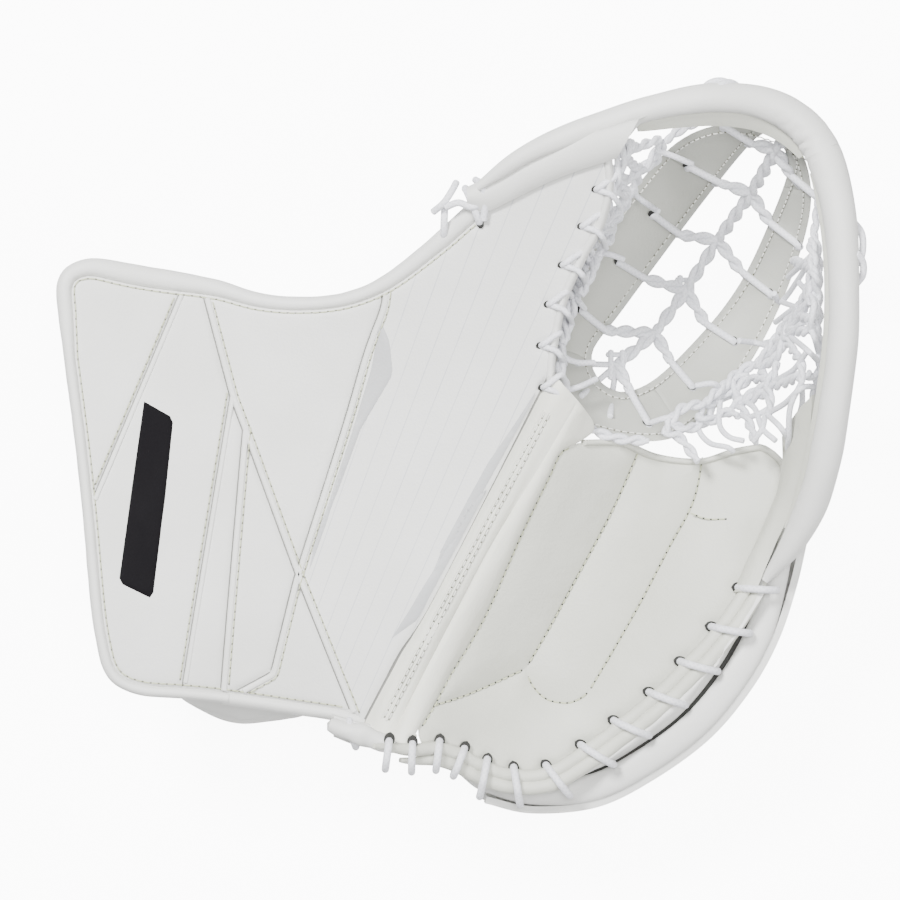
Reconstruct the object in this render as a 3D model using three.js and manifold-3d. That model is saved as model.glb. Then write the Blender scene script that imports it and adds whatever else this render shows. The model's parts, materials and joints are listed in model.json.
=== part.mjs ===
// A goalkeeper's catch glove for ice sports, lying on its back with the catching face up.
// Millimetres, +Z up. The cuff points to -X, the thumb to +Y and the finger tips to +X.
import * as THREE from 'three';
import { mergeVertices } from 'three/addons/utils/BufferGeometryUtils.js';
import Module from 'manifold-3d';

const wasm = await Module();
wasm.setup();

// ---- Driving dimensions ----
const GAP = 0.4;                 // clearance between pieces that touch
const CELL = 22;                 // grid spacing of the curved sheets
const SKIN = 3.2;                // padded leather skin of the cuff and thumb
const BOARD = 7;                 // stiff core of the cuff and thumb
const LINING = 3;                // soft lining under the cuff's core
const PATCH = 0.8;               // flat leather pieces sewn on the skin
const WELT_GAP = 1.6;            // half of the seam between two neighbouring panels
const ROLL = 4.6;                // radius of the bound edge of the cuff
const LACE = 2.3;                // radius of the round braided laces
const WEB = 1.8;                 // radius of the cords in the pocket net
const NET_RISE = 6.5;            // height of the laced ends of the nets above the spine
const SPINE = 4;                 // thickness of the leather spine
const SPINE_CELL = 14;           // grid spacing of the spine, which curves more
const PALM_SKIN = 6;             // padded leather skin of the palm
const PALM_FOAM = 8.6;           // foam under the palm's skin
const PALM_EDGE_R = 4.4;         // radius of the roll round the palm
const PALM_TURNS = 11;           // turns of the lace over that roll
const BREAK_STRIP = 3;           // thickness of the two soft strips at the break
const BACK = 10;                 // thickness of the backhand board
const BACK_PAD = 7.6;            // thickness of the pad inside the backhand board
const THUMB_BACK = 50;           // depth of the back of the thumb below the thumb's face
const THUMB_PAD = 8;             // thickness of the pad at the back of the thumb
const WRIST_PAD = 12;            // thickness of the pad under the wrist
const FINGER_R = 10.8;           // outer radius of a finger stall
const THUMB_R = 12.5;            // outer radius of the thumb stall
const STALL_WALL = 2.2;          // thickness of a stall's wall
const STRAP = 38;                // width of the two closing straps
const STRAP_T = 2.4;             // thickness of the strap webbing
const STRAP_X = -106;            // middle of the wrist strap along the cuff
const RING = [48, 12, 3];        // width, height and bar of the strap's ring

// The fold line runs from the heel of the glove to the top corner of the pocket.
const HEEL = new THREE.Vector3(-40, -134, 99);
const CORNER = new THREE.Vector3(165, 163, 150);
const FOLD = Math.hypot(CORNER.x - HEEL.x, CORNER.y - HEEL.y);
const ALONG = [(CORNER.x - HEEL.x) / FOLD, (CORNER.y - HEEL.y) / FOLD];

// Distance along the fold line, and distance from it towards the fingers.
const foldU = (x, y) => (x - HEEL.x) * ALONG[0] + (y - HEEL.y) * ALONG[1];
const foldV = (x, y) => (x - HEEL.x) * ALONG[1] - (y - HEEL.y) * ALONG[0];

// Height of the cuff and thumb face.
function faceZ(x, y) {
  const flare = Math.min(0, x + 90);
  const rise = Math.max(0, 0.6 * (x + 60) + 0.8 * y);
  const heel = Math.min(0, y + 60);
  return 104 + 0.0009 * flare ** 2 + 0.00127 * rise ** 2 - 0.0012 * heel ** 2;
}

// Height of the palm, a shallow bowl across the fold.
const palmZ = (x, y) => 78 + 0.0075 * (foldV(x, y) - 60) ** 2 + 0.004 * Math.min(0, foldU(x, y) - 70) ** 2;

// Height of the leather spine at the bottom of the pocket.
function spineZ(x, y) {
  const u = foldU(x, y) - 262;
  return 38 + (u < 0 ? 0.0075 : 0.0125) * u ** 2 + 0.01 * (foldV(x, y) - 5) ** 2;
}

// ---- Geometry helpers ----
function clean(geometry) {
  const onlyPositions = Object.keys(geometry.attributes).length === 1;
  if (geometry.index && onlyPositions) return geometry;
  const bare = geometry.index ? geometry.toNonIndexed() : geometry.clone();
  bare.deleteAttribute('normal');
  bare.deleteAttribute('uv');
  return mergeVertices(bare, 1e-4);
}

function volume(geometry) {
  const p = geometry.getAttribute('position');
  const [a, b, c] = [new THREE.Vector3(), new THREE.Vector3(), new THREE.Vector3()];
  let sum = 0;
  for (let i = 0; i < geometry.index.count; i += 3) {
    a.fromBufferAttribute(p, geometry.index.getX(i));
    b.fromBufferAttribute(p, geometry.index.getX(i + 1));
    c.fromBufferAttribute(p, geometry.index.getX(i + 2));
    sum += a.dot(b.cross(c)) / 6;
  }
  return sum;
}

// The same closed surface with its faces pointing out.
function outward(geometry) {
  const shape = clean(geometry);
  if (volume(shape) > 0) return shape;
  const order = Array.from(shape.index.array);
  for (let i = 0; i < order.length; i += 3) {
    [order[i], order[i + 1]] = [order[i + 1], order[i]];
  }
  shape.setIndex(order);
  return shape;
}

function toSolid(geometry) {
  const shape = outward(geometry);
  return new wasm.Manifold(new wasm.Mesh({
    numProp: 3,
    vertProperties: new Float32Array(shape.getAttribute('position').array),
    triVerts: new Uint32Array(shape.index.array),
  }));
}

function toGeometry(solid) {
  const mesh = solid.getMesh();
  const geometry = new THREE.BufferGeometry();
  geometry.setAttribute('position', new THREE.BufferAttribute(new Float32Array(mesh.vertProperties), 3));
  geometry.setIndex(new THREE.BufferAttribute(new Uint32Array(mesh.triVerts), 1));
  return geometry;
}

const cut = (geometry, ...tools) => toGeometry(
  tools.reduce((solid, tool) => solid.subtract(toSolid(tool)), toSolid(geometry)));

const join = (...pieces) => toGeometry(
  pieces.map(toSolid).reduce((solid, piece) => solid.add(piece)));

// A closed body between two grids of points with the same rows and columns.
function between(upper, lower) {
  const [rows, cols] = [upper.length, upper[0].length];
  const at = (side, i, j) => side * rows * cols + i * cols + j;
  const faces = [];
  const quad = (a, b, c, d) => faces.push(a, b, c, a, c, d);
  for (let i = 0; i + 1 < rows; i++) {
    for (let j = 0; j + 1 < cols; j++) {
      quad(at(0, i, j), at(0, i + 1, j), at(0, i + 1, j + 1), at(0, i, j + 1));
      quad(at(1, i, j), at(1, i, j + 1), at(1, i + 1, j + 1), at(1, i + 1, j));
    }
  }
  for (let i = 0; i + 1 < rows; i++) {
    quad(at(0, i, 0), at(1, i, 0), at(1, i + 1, 0), at(0, i + 1, 0));
    quad(at(0, i, cols - 1), at(0, i + 1, cols - 1), at(1, i + 1, cols - 1), at(1, i, cols - 1));
  }
  for (let j = 0; j + 1 < cols; j++) {
    quad(at(0, 0, j), at(0, 0, j + 1), at(1, 0, j + 1), at(1, 0, j));
    quad(at(0, rows - 1, j), at(1, rows - 1, j), at(1, rows - 1, j + 1), at(0, rows - 1, j + 1));
  }
  const geometry = new THREE.BufferGeometry();
  const flat = [...upper, ...lower].flat().flatMap((p) => [p.x, p.y, p.z]);
  geometry.setAttribute('position', new THREE.Float32BufferAttribute(flat, 3));
  geometry.setIndex(faces);
  return outward(geometry);
}

// A smooth line through a few points, as evenly spaced points.
function smooth(points, count) {
  const curve = new THREE.CatmullRomCurve3(points.map((p) => new THREE.Vector3(p[0], p[1], p[2] ?? 0)));
  return curve.getSpacedPoints(count);
}

// A sheet that follows a height function inside a plan outline.
function sheet(outline, low, high, cell = CELL) {
  const xs = outline.map((p) => p[0]);
  const ys = outline.map((p) => p[1]);
  const line = (values) => {
    const start = Math.floor(Math.min(...values) / cell) * cell - 0.7;
    const steps = Math.ceil((Math.max(...values) + 1 - start) / cell);
    return Array.from({ length: steps + 1 }, (_, i) => start + i * cell);
  };
  const [gx, gy] = [line(xs), line(ys)];
  const grid = (height) => gx.map((x) => gy.map((y) => new THREE.Vector3(x, y, height(x, y))));
  const slab = between(grid(high), grid(low));
  const shape = new THREE.Shape(outline.map((p) => new THREE.Vector2(p[0], p[1])));
  const prism = new THREE.ExtrudeGeometry(shape, { depth: 400, bevelEnabled: false, steps: 1 });
  prism.translate(0, 0, -100);
  return toGeometry(toSolid(prism).intersect(toSolid(slab)));
}

const layer = (surface, top, bottom) => [
  (x, y) => surface(x, y) + bottom,
  (x, y) => surface(x, y) + top,
];

// A slab with level faces, and one that is taller than the glove.
const level = (outline, bottom, top) => sheet(outline, () => bottom, () => top, 400);
const upright = (outline) => level(outline, 0, 190);

// The outline moved inwards by a distance.
function inset(outline, distance) {
  const area = outline.reduce((sum, p, i) => {
    const q = outline[(i + 1) % outline.length];
    return sum + p[0] * q[1] - q[0] * p[1];
  }, 0);
  const turn = Math.sign(area);
  return outline.map((p, i) => {
    const a = outline[(i + outline.length - 1) % outline.length];
    const b = outline[(i + 1) % outline.length];
    const before = new THREE.Vector2(p[0] - a[0], p[1] - a[1]).normalize();
    const after = new THREE.Vector2(b[0] - p[0], b[1] - p[1]).normalize();
    const mid = new THREE.Vector2(-(before.y + after.y), before.x + after.x).normalize();
    const reach = distance / Math.max(0.5, mid.x * -after.y + mid.y * after.x);
    return [p[0] + turn * mid.x * reach, p[1] + turn * mid.y * reach];
  });
}

const lift = (points, surface, offset) => points.map(([x, y]) => [x, y, surface(x, y) + offset]);

// A round cord or roll along a smooth path.
function tube(points, radius, steps, sides = 6) {
  const section = new THREE.Shape();
  for (let i = 0; i < sides; i++) {
    const angle = (2 * Math.PI * (i + 0.5)) / sides;
    const [x, y] = [radius * Math.cos(angle), radius * Math.sin(angle)];
    if (i) section.lineTo(x, y);
    else section.moveTo(x, y);
  }
  section.closePath();
  const path = new THREE.CatmullRomCurve3(points.map((p) => new THREE.Vector3(...p)), false, 'centripetal');
  const body = new THREE.ExtrudeGeometry(section, { steps, extrudePath: path, bevelEnabled: false });
  return outward(body);
}

// A flat strip of webbing or leather along a path, with its width along one direction.
function ribbon(points, across, width, thickness, steps) {
  const line = smooth(points, steps);
  const side = new THREE.Vector3(...across).normalize();
  const normals = line.map((p, i) => {
    const next = line[Math.min(i + 1, line.length - 1)];
    const last = line[Math.max(i - 1, 0)];
    return new THREE.Vector3().subVectors(next, last).cross(side).normalize();
  });
  const grid = (shift) => line.map((p, i) => [-0.5, 0.5].map((k) => p.clone()
    .addScaledVector(side, k * width)
    .addScaledVector(normals[i], shift)));
  return between(grid(thickness / 2), grid(-thickness / 2));
}

// A wall lofted between an upper and a lower line, with a wall thickness towards the inside.
function wall(upper, lower, count, rows, thickness, bulge = 0) {
  const top = smooth(upper, count);
  const bottom = smooth(lower, count);
  const point = (i, k) => {
    const p = top[i].clone().lerp(bottom[i], k / rows);
    const a = top[Math.max(i - 1, 0)];
    const b = top[Math.min(i + 1, count)];
    const out = new THREE.Vector3(b.y - a.y, a.x - b.x, 0).normalize();
    return { p, out, swell: bulge * Math.sin((Math.PI * k) / rows) };
  };
  const grid = (shift) => top.map((_, i) => Array.from({ length: rows + 1 }, (__, k) => {
    const { p, out, swell } = point(i, k);
    return p.addScaledVector(out, swell + shift);
  }));
  return between(grid(0), grid(-thickness));
}

const glove = new THREE.Group();

function add(name, geometry, colour, roughness = 0.6, metalness = 0) {
  const material = new THREE.MeshStandardMaterial({ color: colour, roughness, metalness });
  const mesh = new THREE.Mesh(geometry, material);
  mesh.name = name;
  glove.add(mesh);
  return mesh;
}

const LEATHER = 0xececea;
const PALM = 0xe2e2d8;
const GREY = 0xd2d4d6;
const CREAM = 0xeeeee2;
const CORD = 0xe6e7ec;
const BLACK = 0x262427;
const NYLON = 0x4a4b4e;
const CORE = 0x8f9092;
const PLASTIC = 0x303133;

// ---- Cuff and thumb: one board under a set of sewn panels ----
const CUFF_EDGE = [
  [-166, -111], [-172, -100], [-176, -70], [-180, -30], [-184, 8], [-190, 51], [-193, 78],
  [-189, 89], [-176, 95], [-158, 93], [-119, 86], [-96, 79], [-76, 77], [-55, 79], [-36, 87],
  [-14, 104], [3, 120],
];
const THUMB_TOP = [[16, 120], [30, 127], [50, 136], [66, 142]];
const POCKET_EDGE = [[66, 123], [58, 94], [48, 65], [42, 40]];
const BREAK_EDGE = [[24, -6], [1, -43], [-17, -77], [-28, -95], [-44, -128]];
const HEEL_EDGE = [[-64, -124], [-81, -123], [-115, -118], [-132, -116]];
const FACE = [...CUFF_EDGE, ...THUMB_TOP, ...POCKET_EDGE, ...BREAK_EDGE, ...HEEL_EDGE];
const EDGE_INSET = 2 * ROLL + GAP;
const BODY = inset(FACE, EDGE_INSET);

// Seam lines that cross the cuff.
const SEAM_A = [[-133, 79], [-180, -32]];
const SEAM_B_TOP = [[-123, 77], [-110, 29]];
const SEAM_B_MID = [[-104, 13], [-78, -58]];
const SEAM_C = [[-35, 87], [-80, -59]];
const SEAM_C_LOW = [[-79, -59], [-90, -103], [-115, -119]];
const SEAM_B_LOW = [[-78, -58], [-48, -132]];
const SEAM_D = [[-110, 29], [-134, -117]];
const SEAM_E = [[-104, 13], [-115, -119]];

// One skin panel: the part of the cuff inside a rough boundary, clear of the seams around it.
function panel(boundary, bottom = -SKIN, top = 0) {
  const [low, high] = layer(faceZ, top, bottom);
  const whole = sheet(inset(boundary, WELT_GAP), low, high);
  const [floor, roof] = layer(faceZ, 30, -30);
  return toGeometry(toSolid(whole).intersect(toSolid(sheet(BODY, floor, roof))));
}

function cuffPanels() {
  add('cuff_panel_corner', panel([SEAM_A[0], [-200, 130], [-230, -32], SEAM_A[1]]), LEATHER);
  add('cuff_panel_emblem', panel([
    SEAM_A[0], SEAM_A[1], [-230, -32], [-230, -150], SEAM_D[1], SEAM_D[0], SEAM_B_TOP[0], [-123, 110],
    [-133, 110],
  ]), LEATHER);
  add('cuff_panel_strip', panel([SEAM_D[0], SEAM_D[1], [-134, -150], [-115, -150], SEAM_E[1], SEAM_E[0]]),
    LEATHER);
  add('cuff_panel_inlay', panel([
    [-123, 110], [-123, 77], [-110, 29], [-104, 13], [-79, -58], [-35, 87], [-35, 120],
  ]), LEATHER);
  add('cuff_panel_centre', panel([
    SEAM_E[0], SEAM_E[1], SEAM_C_LOW[1], SEAM_C_LOW[0], SEAM_B_MID[1],
  ]), LEATHER);
  add('cuff_panel_heel', panel([
    SEAM_C_LOW[0], SEAM_C_LOW[1], SEAM_C_LOW[2], [-115, -160], [-44, -160], SEAM_B_LOW[1],
  ]), LEATHER);
  add('thumb_face_panel', panel([
    SEAM_C[0], SEAM_C[1], SEAM_B_LOW[1], [-48, -160], [120, -160], [120, 200], [-35, 200],
  ]), LEATHER);
}

// Flat appliques sewn on the skins.
function applique(outline) {
  const [low, high] = layer(faceZ, GAP + PATCH, GAP);
  return sheet(outline, low, high);
}

function appliques() {
  add('thumb_wedge', applique([[-37, 64], [-31, 40], [-71, -52], [-74, -54]]), GREY, 0.5);
  add('thumb_accent', applique([[-32, -80], [-21, -70], [-2, -38], [22, 4], [-10, -34]]), GREY, 0.5);
  add('cuff_badge', applique([
    [-152, 30], [-134, 24], [-140, -20], [-146, -70], [-164, -64], [-158, -18],
  ]), BLACK, 0.45);
}

const LINER_EDGE = [
  [-150, -98], [-162, -60], [-170, 10], [-176, 70], [-166, 78], [-118, 68], [-76, 60], [-44, 64],
  [-10, 92], [14, 104], [42, 118], [36, 88], [26, 56], [14, 18], [-4, -16], [-22, -52], [-40, -86],
  [-58, -108], [-110, -102],
];

function cuffCore() {
  const [low, high] = layer(faceZ, -SKIN - GAP, -SKIN - GAP - BOARD);
  add('cuff_board', sheet(BODY, low, high), CORE, 0.8);
  const under = -SKIN - BOARD - 2 * GAP;
  add('cuff_liner', sheet(LINER_EDGE, ...layer(faceZ, under, under - LINING)), NYLON, 0.9);
}

function cuffEdge() {
  const edge = inset(FACE, ROLL);
  const depth = -SKIN - BOARD / 2;
  const binding = [...edge.slice(-1), ...edge.slice(0, CUFF_EDGE.length)];
  add('cuff_binding', tube(lift(binding, faceZ, depth), ROLL - GAP, 44), LEATHER);
  const heel = [edge[FACE.length - 2], edge[FACE.length - 3], edge[FACE.length - 4]];
  add('heel_roll', tube(lift(heel, faceZ, depth), ROLL - GAP, 6), LEATHER);
}

// Leather lip along the thumb's pocket edge, where the net is laced.
function thumbLip() {
  const line = inset(FACE, ROLL).slice(CUFF_EDGE.length + THUMB_TOP.length - 1,
    CUFF_EDGE.length + THUMB_TOP.length + POCKET_EDGE.length);
  add('thumb_lip', tube(lift(line, faceZ, -SKIN - BOARD / 2), ROLL - GAP, 12), LEATHER);
}

// ---- Rim of the glove: a stuffed bead from the thumb tip round the pocket to the finger tips ----
const BEAD = [
  [14, 131, 140], [45, 147, 150], [86, 160, 157], [112, 166, 157], [147, 163, 148], [170, 144, 145],
  [180, 100, 149], [181, 60, 149], [177, 20, 142], [173, -8, 128], [165, -30, 115], [154, -49, 106],
];

function bead() {
  const path = new THREE.CatmullRomCurve3(BEAD.map((p) => new THREE.Vector3(...p)), false, 'centripetal');
  const part = (from, to, count) => Array.from({ length: count + 1 }, (_, i) => path
    .getPointAt(from + ((to - from) * i) / count).toArray());
  add('bead_thumb_side', tube(part(0, 0.33, 10), 7.5, 12, 8), LEATHER);
  add('bead_corner', tube(part(0.37, 0.53, 6), 8, 8, 8), LEATHER);
  add('bead_finger_side', tube(part(0.575, 1, 12), 8.5, 16, 8), LEATHER);
}

// ---- Pocket spine: two bands with a long slot between them ----
const SPINE_OUTER = [
  [60, 14], [46, 40], [48, 72], [66, 104], [86, 130], [104, 152], [124, 158], [146, 154], [164, 144],
  [170, 122], [163, 88], [150, 56], [130, 28], [110, 12], [98, 8], [80, 11],
];
const SPINE_SLOT = [
  [70, 40], [67, 51], [80, 68], [100, 96], [120, 124], [137, 146], [152, 146], [158, 130], [146, 97],
  [132, 76], [112, 54], [97, 40], [84, 34],
];

function pocketSpine() {
  const [low, high] = layer(spineZ, SPINE / 2, -SPINE / 2);
  const whole = sheet(SPINE_OUTER, low, high, SPINE_CELL);
  const [floor, roof] = layer(spineZ, 30, -30);
  const ring = cut(whole, sheet(SPINE_SLOT, floor, roof, SPINE_CELL));
  const piece = (boundary) => toGeometry(toSolid(ring).intersect(toSolid(upright(inset(boundary, GAP)))));
  const middle = [[106, 77], [126, 115]];
  const topCut = [[40, 150], [132, 134], [144, 140], [150, 138], [158, 124], [220, 124]];
  const baseCut = [[20, 60], [71, 46], [84, 38], [95, 42], [114, 18], [160, -20]];
  add('spine_base', piece([...baseCut, [100, -40], [20, -20]]), PALM);
  add('spine_band_thumb', piece([
    ...baseCut.slice(0, 3), ...middle, ...topCut.slice(0, 3).reverse(),
  ]), PALM);
  add('spine_band_finger', piece([
    ...baseCut.slice(2), [220, 20], ...topCut.slice(3).reverse(), ...[...middle].reverse(),
  ]), PALM);
  add('spine_top', piece([...topCut, [220, 190], [40, 190]]), PALM);
}

// ---- Nets ----
const twist = (a, b, side, radius, steps = 4) => tube([
  a,
  [(a[0] * 2 + b[0]) / 3 + side[0], (a[1] * 2 + b[1]) / 3 + side[1], (a[2] * 2 + b[2]) / 3 + side[2]],
  [(a[0] + b[0] * 2) / 3 - side[0], (a[1] + b[1] * 2) / 3 - side[1], (a[2] + b[2] * 2) / 3 - side[2]],
  b,
], radius, steps, 5);

// A net between two edge lines: rungs across and runners along.
function net(edgeA, edgeB, rungs, runners) {
  const a = smooth(edgeA, rungs);
  const b = smooth(edgeB, rungs);
  const at = (i, t) => a[i].clone().lerp(b[i], t).toArray();
  const cords = [];
  for (let i = 0; i <= rungs; i++) {
    cords.push(tube([at(i, 0), at(i, 0.5), at(i, 1)], WEB, 2, 5));
  }
  for (let k = 0; k <= runners; k++) {
    const line = Array.from({ length: rungs + 1 }, (_, i) => at(i, k / runners));
    cords.push(tube(line, WEB, rungs, 5));
  }
  return join(...cords);
}

// The inner side of the rim and the outer sides of the spine, where the nets are laced.
const THUMB_NET_TOP = [[74, 144, 148], [72, 122, 136], [64, 94, 122], [54, 66, 112], [50, 42, 106]];
const THUMB_NET_LOW = [[98, 144], [84, 124], [68, 102], [54, 76], [52, 50]];
const FINGER_NET_TOP = [[165, 121, 134], [168, 90, 138], [167, 56, 137], [158, 20, 126], [147, 2, 112]];
const FINGER_NET_LOW = [[166, 112], [158, 78], [144, 48], [126, 24], [114, 10]];

function nets() {
  add('thumb_net', net(THUMB_NET_TOP, lift(THUMB_NET_LOW, spineZ, NET_RISE), 6, 2), CORD, 0.8);
  add('finger_net', net(FINGER_NET_TOP, lift(FINGER_NET_LOW, spineZ, NET_RISE), 6, 3), CORD, 0.8);
  const nodes = [[84, 44], [98, 66], [112, 87], [126, 106], [137, 124], [142, 134]];
  const left = [[70, 52], [78, 68], [96, 94], [110, 114], [120, 128], [127, 138]];
  const right = [[97, 44], [112, 58], [129, 77], [143, 96], [151, 113], [154, 124]];
  const high = (p) => [p[0], p[1], spineZ(...p) + NET_RISE];
  const cords = [];
  nodes.forEach((p, i) => {
    if (i) cords.push(twist(high(nodes[i - 1]), high(p), [1, -1, 0], WEB));
    cords.push(tube([high(left[i]), high(p), high(right[i])], WEB, 4, 5));
  });
  add('slot_lacing', join(...cords), CORD, 0.8);
}

// ---- Palm ----
const PALM_SEAM = [[53, -2], [46, -12], [33, -38], [18, -72], [4, -96], [-6, -112], [-14, -130]];
const PALM_ROLL = [
  [-10, -142], [8, -148], [32, -155], [60, -151], [88, -137], [116, -112], [136, -86], [147, -62],
];
const PALM_RIGHT = [[151, -42], [152, -20], [148, -7]];
const PALM_TOP = [[134, -3], [119, -7], [98, -6], [79, -2], [64, 0]];
const PALM_EDGE = [...PALM_SEAM, ...PALM_ROLL, ...PALM_RIGHT, ...PALM_TOP];

// The middle of the stuffed roll along the heel and finger side of the palm.
const rollEdge = inset(PALM_EDGE, -3).slice(PALM_SEAM.length, PALM_SEAM.length + PALM_ROLL.length);
const rollPoints = smooth(lift(rollEdge, palmZ, -2), 24).map((p) => p.toArray());

function palmPanel(boundary) {
  const whole = sheet(inset(boundary, WELT_GAP / 2), ...layer(palmZ, 0, -PALM_SKIN));
  return toGeometry(toSolid(whole).intersect(toSolid(upright(inset(PALM_EDGE, 2)))));
}

function palm() {
  const seam2 = [[89, 4], [75, -26], [57, -60], [44, -84], [33, -103]];
  const seam3 = [[120, 4], [115, -21], [103, -44], [90, -69], [77, -92], [64, -114]];
  const cross = [[-14, -120], [2, -116], [15, -111], [33, -103]];
  const loop = [[33, -103], [40, -116], [52, -120], [64, -114]];
  add('palm_panel_inner', palmPanel([[40, 10], [89, 10], ...seam2.slice(0, -1), ...[...cross].reverse(),
    [-40, -120]]), PALM);
  add('palm_panel_middle', palmPanel([[89, 10], [120, 10], ...seam3, ...[...loop].reverse().slice(1, -1),
    ...[...seam2].reverse().slice(0, -1)]), PALM);
  add('palm_panel_fingers', palmPanel([[120, 10], [220, 10], [220, -150], [84, -150], seam3[5],
    ...[...seam3].reverse().slice(1)]), PALM);
  add('palm_panel_heel', palmPanel([...cross, ...loop.slice(1), [84, -150], [84, -200], [-60, -200],
    [-60, -120]]), PALM);
  const under = -PALM_SKIN - GAP;
  add('palm_foam', sheet(inset(PALM_EDGE, 9), ...layer(palmZ, under, under - PALM_FOAM)), NYLON, 0.9);
  add('palm_edge_roll', tube(rollPoints, PALM_EDGE_R, 26, 8), PALM);
}

// One lace wound over the roll: each turn starts at a hole in the palm, goes out over the roll
// and comes back under it to the run that joins the turns.
function palmLace() {
  const line = smooth(rollPoints, 2 * PALM_TURNS);
  const reach = PALM_EDGE_R + LACE + 3 * GAP;
  const turns = Array.from({ length: PALM_TURNS }, (_, i) => {
    const centre = line[2 * i + 1];
    const run = new THREE.Vector3().subVectors(line[2 * i + 2], line[2 * i]);
    const out = new THREE.Vector3(run.y, -run.x, 0).normalize();
    const inner = (distance) => {
      const p = centre.clone().addScaledVector(out, -distance);
      p.z = palmZ(p.x, p.y) + LACE + 1.5;
      return p.toArray();
    };
    const around = (angle) => {
      const p = centre.clone().addScaledVector(out, reach * Math.sin(angle));
      p.z += reach * Math.cos(angle);
      return p.toArray();
    };
    return [inner(13), inner(8), ...[0, 0.6, 1.2, 1.8, 2.4].map(around)];
  });
  const run = turns.map((turn) => turn[turn.length - 1]);
  const cord = join(tube(run, LACE, 18, 6), ...turns.map((turn) => tube(turn, LACE, 7, 6)));
  const clear = tube(rollPoints, PALM_EDGE_R + GAP, 26, 8);
  add('palm_lace', cut(cord, clear), CORD, 0.8);
}

// Leather lip that rises from the finger end of the palm to the bead.
function fingerLip() {
  add('finger_lip', wall([[162, 28, 133], [162, 4, 123], [156, -15, 112], [150, -27, 105]],
    [[159, 12, 98], [157.5, -3, 94], [156, -18, 92], [154.5, -30, 92]], 6, 2, 2), PALM);
}

// ---- Break: two soft strips between the thumb face and the palm ----
function breakStrips() {
  const middle = [[38, -6], [16, -40], [-2, -76], [-14, -99], [-28, -129]];
  const foldZ = (x, y) => (faceZ(x, y) + palmZ(x, y)) / 2 - BREAK_STRIP;
  const thick = (inner, outer, zIn, zOut) => {
    const a = smooth(inner.map(([x, y]) => [x, y, zIn(x, y)]), 8);
    const b = smooth(outer.map(([x, y]) => [x, y, zOut(x, y)]), 8);
    const grid = (drop) => a.map((p, i) => [0, 0.5, 1].map((t) => {
      const q = p.clone().lerp(b[i], t);
      q.z += drop + 1.5 * Math.sin(Math.PI * t);
      return q;
    }));
    return between(grid(0), grid(-BREAK_STRIP));
  };
  const thumbEdge = BREAK_EDGE.map(([x, y]) => [x + 1, y - 0.5]);
  const palmEdge = [[43, -12], [29, -40], [15, -72], [1, -98], [-16, -130]];
  add('break_strip_thumb', thick(thumbEdge, middle.map(([x, y]) => [x - 0.5, y]), faceZ, foldZ), CREAM);
  add('break_strip_palm', thick(middle.map(([x, y]) => [x + 0.5, y]), palmEdge, foldZ, palmZ), CREAM);
}

// ---- Back of the hand: board on the ground, wall round the fingers, pads and stalls ----
const WALL_TOP = [
  [14, -166, 70], [36, -171, 68], [67, -168, 70], [94, -155, 78], [122, -133, 86], [142, -109, 89],
  [156, -86, 88], [166, -60, 86], [171, -36, 86],
];
const WALL_LOW = [
  [12, -146, 0.6], [34, -150, 0.6], [60, -148, 0.6], [84, -136, 0.6], [108, -114, 0.6], [126, -92, 0.6],
  [138, -72, 0.6], [147, -50, 0.6], [152, -30, 0.6],
];
const BACK_EDGE = [
  [-50, -104], [-30, -128], [12, -141.5], [34, -145.5], [59, -143.5], [81, -132], [104.5, -111],
  [122, -89.5], [133.8, -70], [142.6, -49], [147.4, -29], [140, -4], [112, 6], [70, -4], [20, -30],
  [-30, -40],
];

function backOfHand() {
  add('backhand_board', level(BACK_EDGE, 0, BACK), LEATHER);
  add('finger_board', wall(WALL_TOP, WALL_LOW, 14, 4, 4, 5), LEATHER);
  add('backhand_pad', level(inset(BACK_EDGE, 8), BACK + GAP, BACK + GAP + BACK_PAD), NYLON, 0.9);
}

// A fingertip stall: a round sleeve open towards the wrist.
function stall(length, radius, start, end) {
  const inner = radius - STALL_WALL;
  const outside = [[0, 0], [0.55, 1.5], [0.9, 6], [1, 12]].map(([x, y]) => [x * radius, length - y]);
  const inside = [[1, 12], [0.5, 5], [0, 3.5]].map(([x, y]) => [x * inner, length - y]);
  const profile = [...outside, [radius, 0], [inner, 0], ...inside].map(([x, y]) => new THREE.Vector2(x, y));
  const sleeve = new THREE.LatheGeometry(profile, 10);
  const direction = new THREE.Vector3().subVectors(new THREE.Vector3(...end), new THREE.Vector3(...start));
  const turn = new THREE.Quaternion().setFromUnitVectors(new THREE.Vector3(0, 1, 0), direction.normalize());
  sleeve.applyQuaternion(turn);
  sleeve.translate(...start);
  return outward(sleeve);
}

function stalls() {
  const fingers = {
    index: [[62, -30, 36], [126, -16, 46], 66],
    middle: [[62, -55, 36], [126, -40, 44], 66],
    ring: [[54, -80, 36], [112, -65, 42], 60],
    little: [[46, -104, 36], [94, -92, 40], 48],
  };
  for (const [name, [start, end, length]] of Object.entries(fingers)) {
    add(`finger_stall_${name}`, stall(length, FINGER_R, start, end), NYLON, 0.9);
  }
  add('thumb_stall', stall(62, THUMB_R, [-16, 34, 72], [12, 78, 87]), NYLON, 0.9);
}

function thumbBack() {
  const outline = [
    [-26, 22], [-34, 52], [-12, 88], [14, 108], [40, 116], [50, 108], [38, 76], [26, 46], [4, 24],
  ];
  const depth = layer(faceZ, -THUMB_BACK, -THUMB_BACK - THUMB_PAD);
  add('thumb_back_pad', sheet(outline, ...depth), LEATHER);
  add('thumb_side_wall', wall(
    [[-40, 66, 90], [-20, 88, 98], [4, 106, 107], [32, 116, 116], [56, 124, 124]],
    [[-36, 58, 58], [-14, 93, 66], [12, 113, 76], [40, 121, 88], [54, 118, 96]], 8, 2, 3, 3), LEATHER);
}

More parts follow.
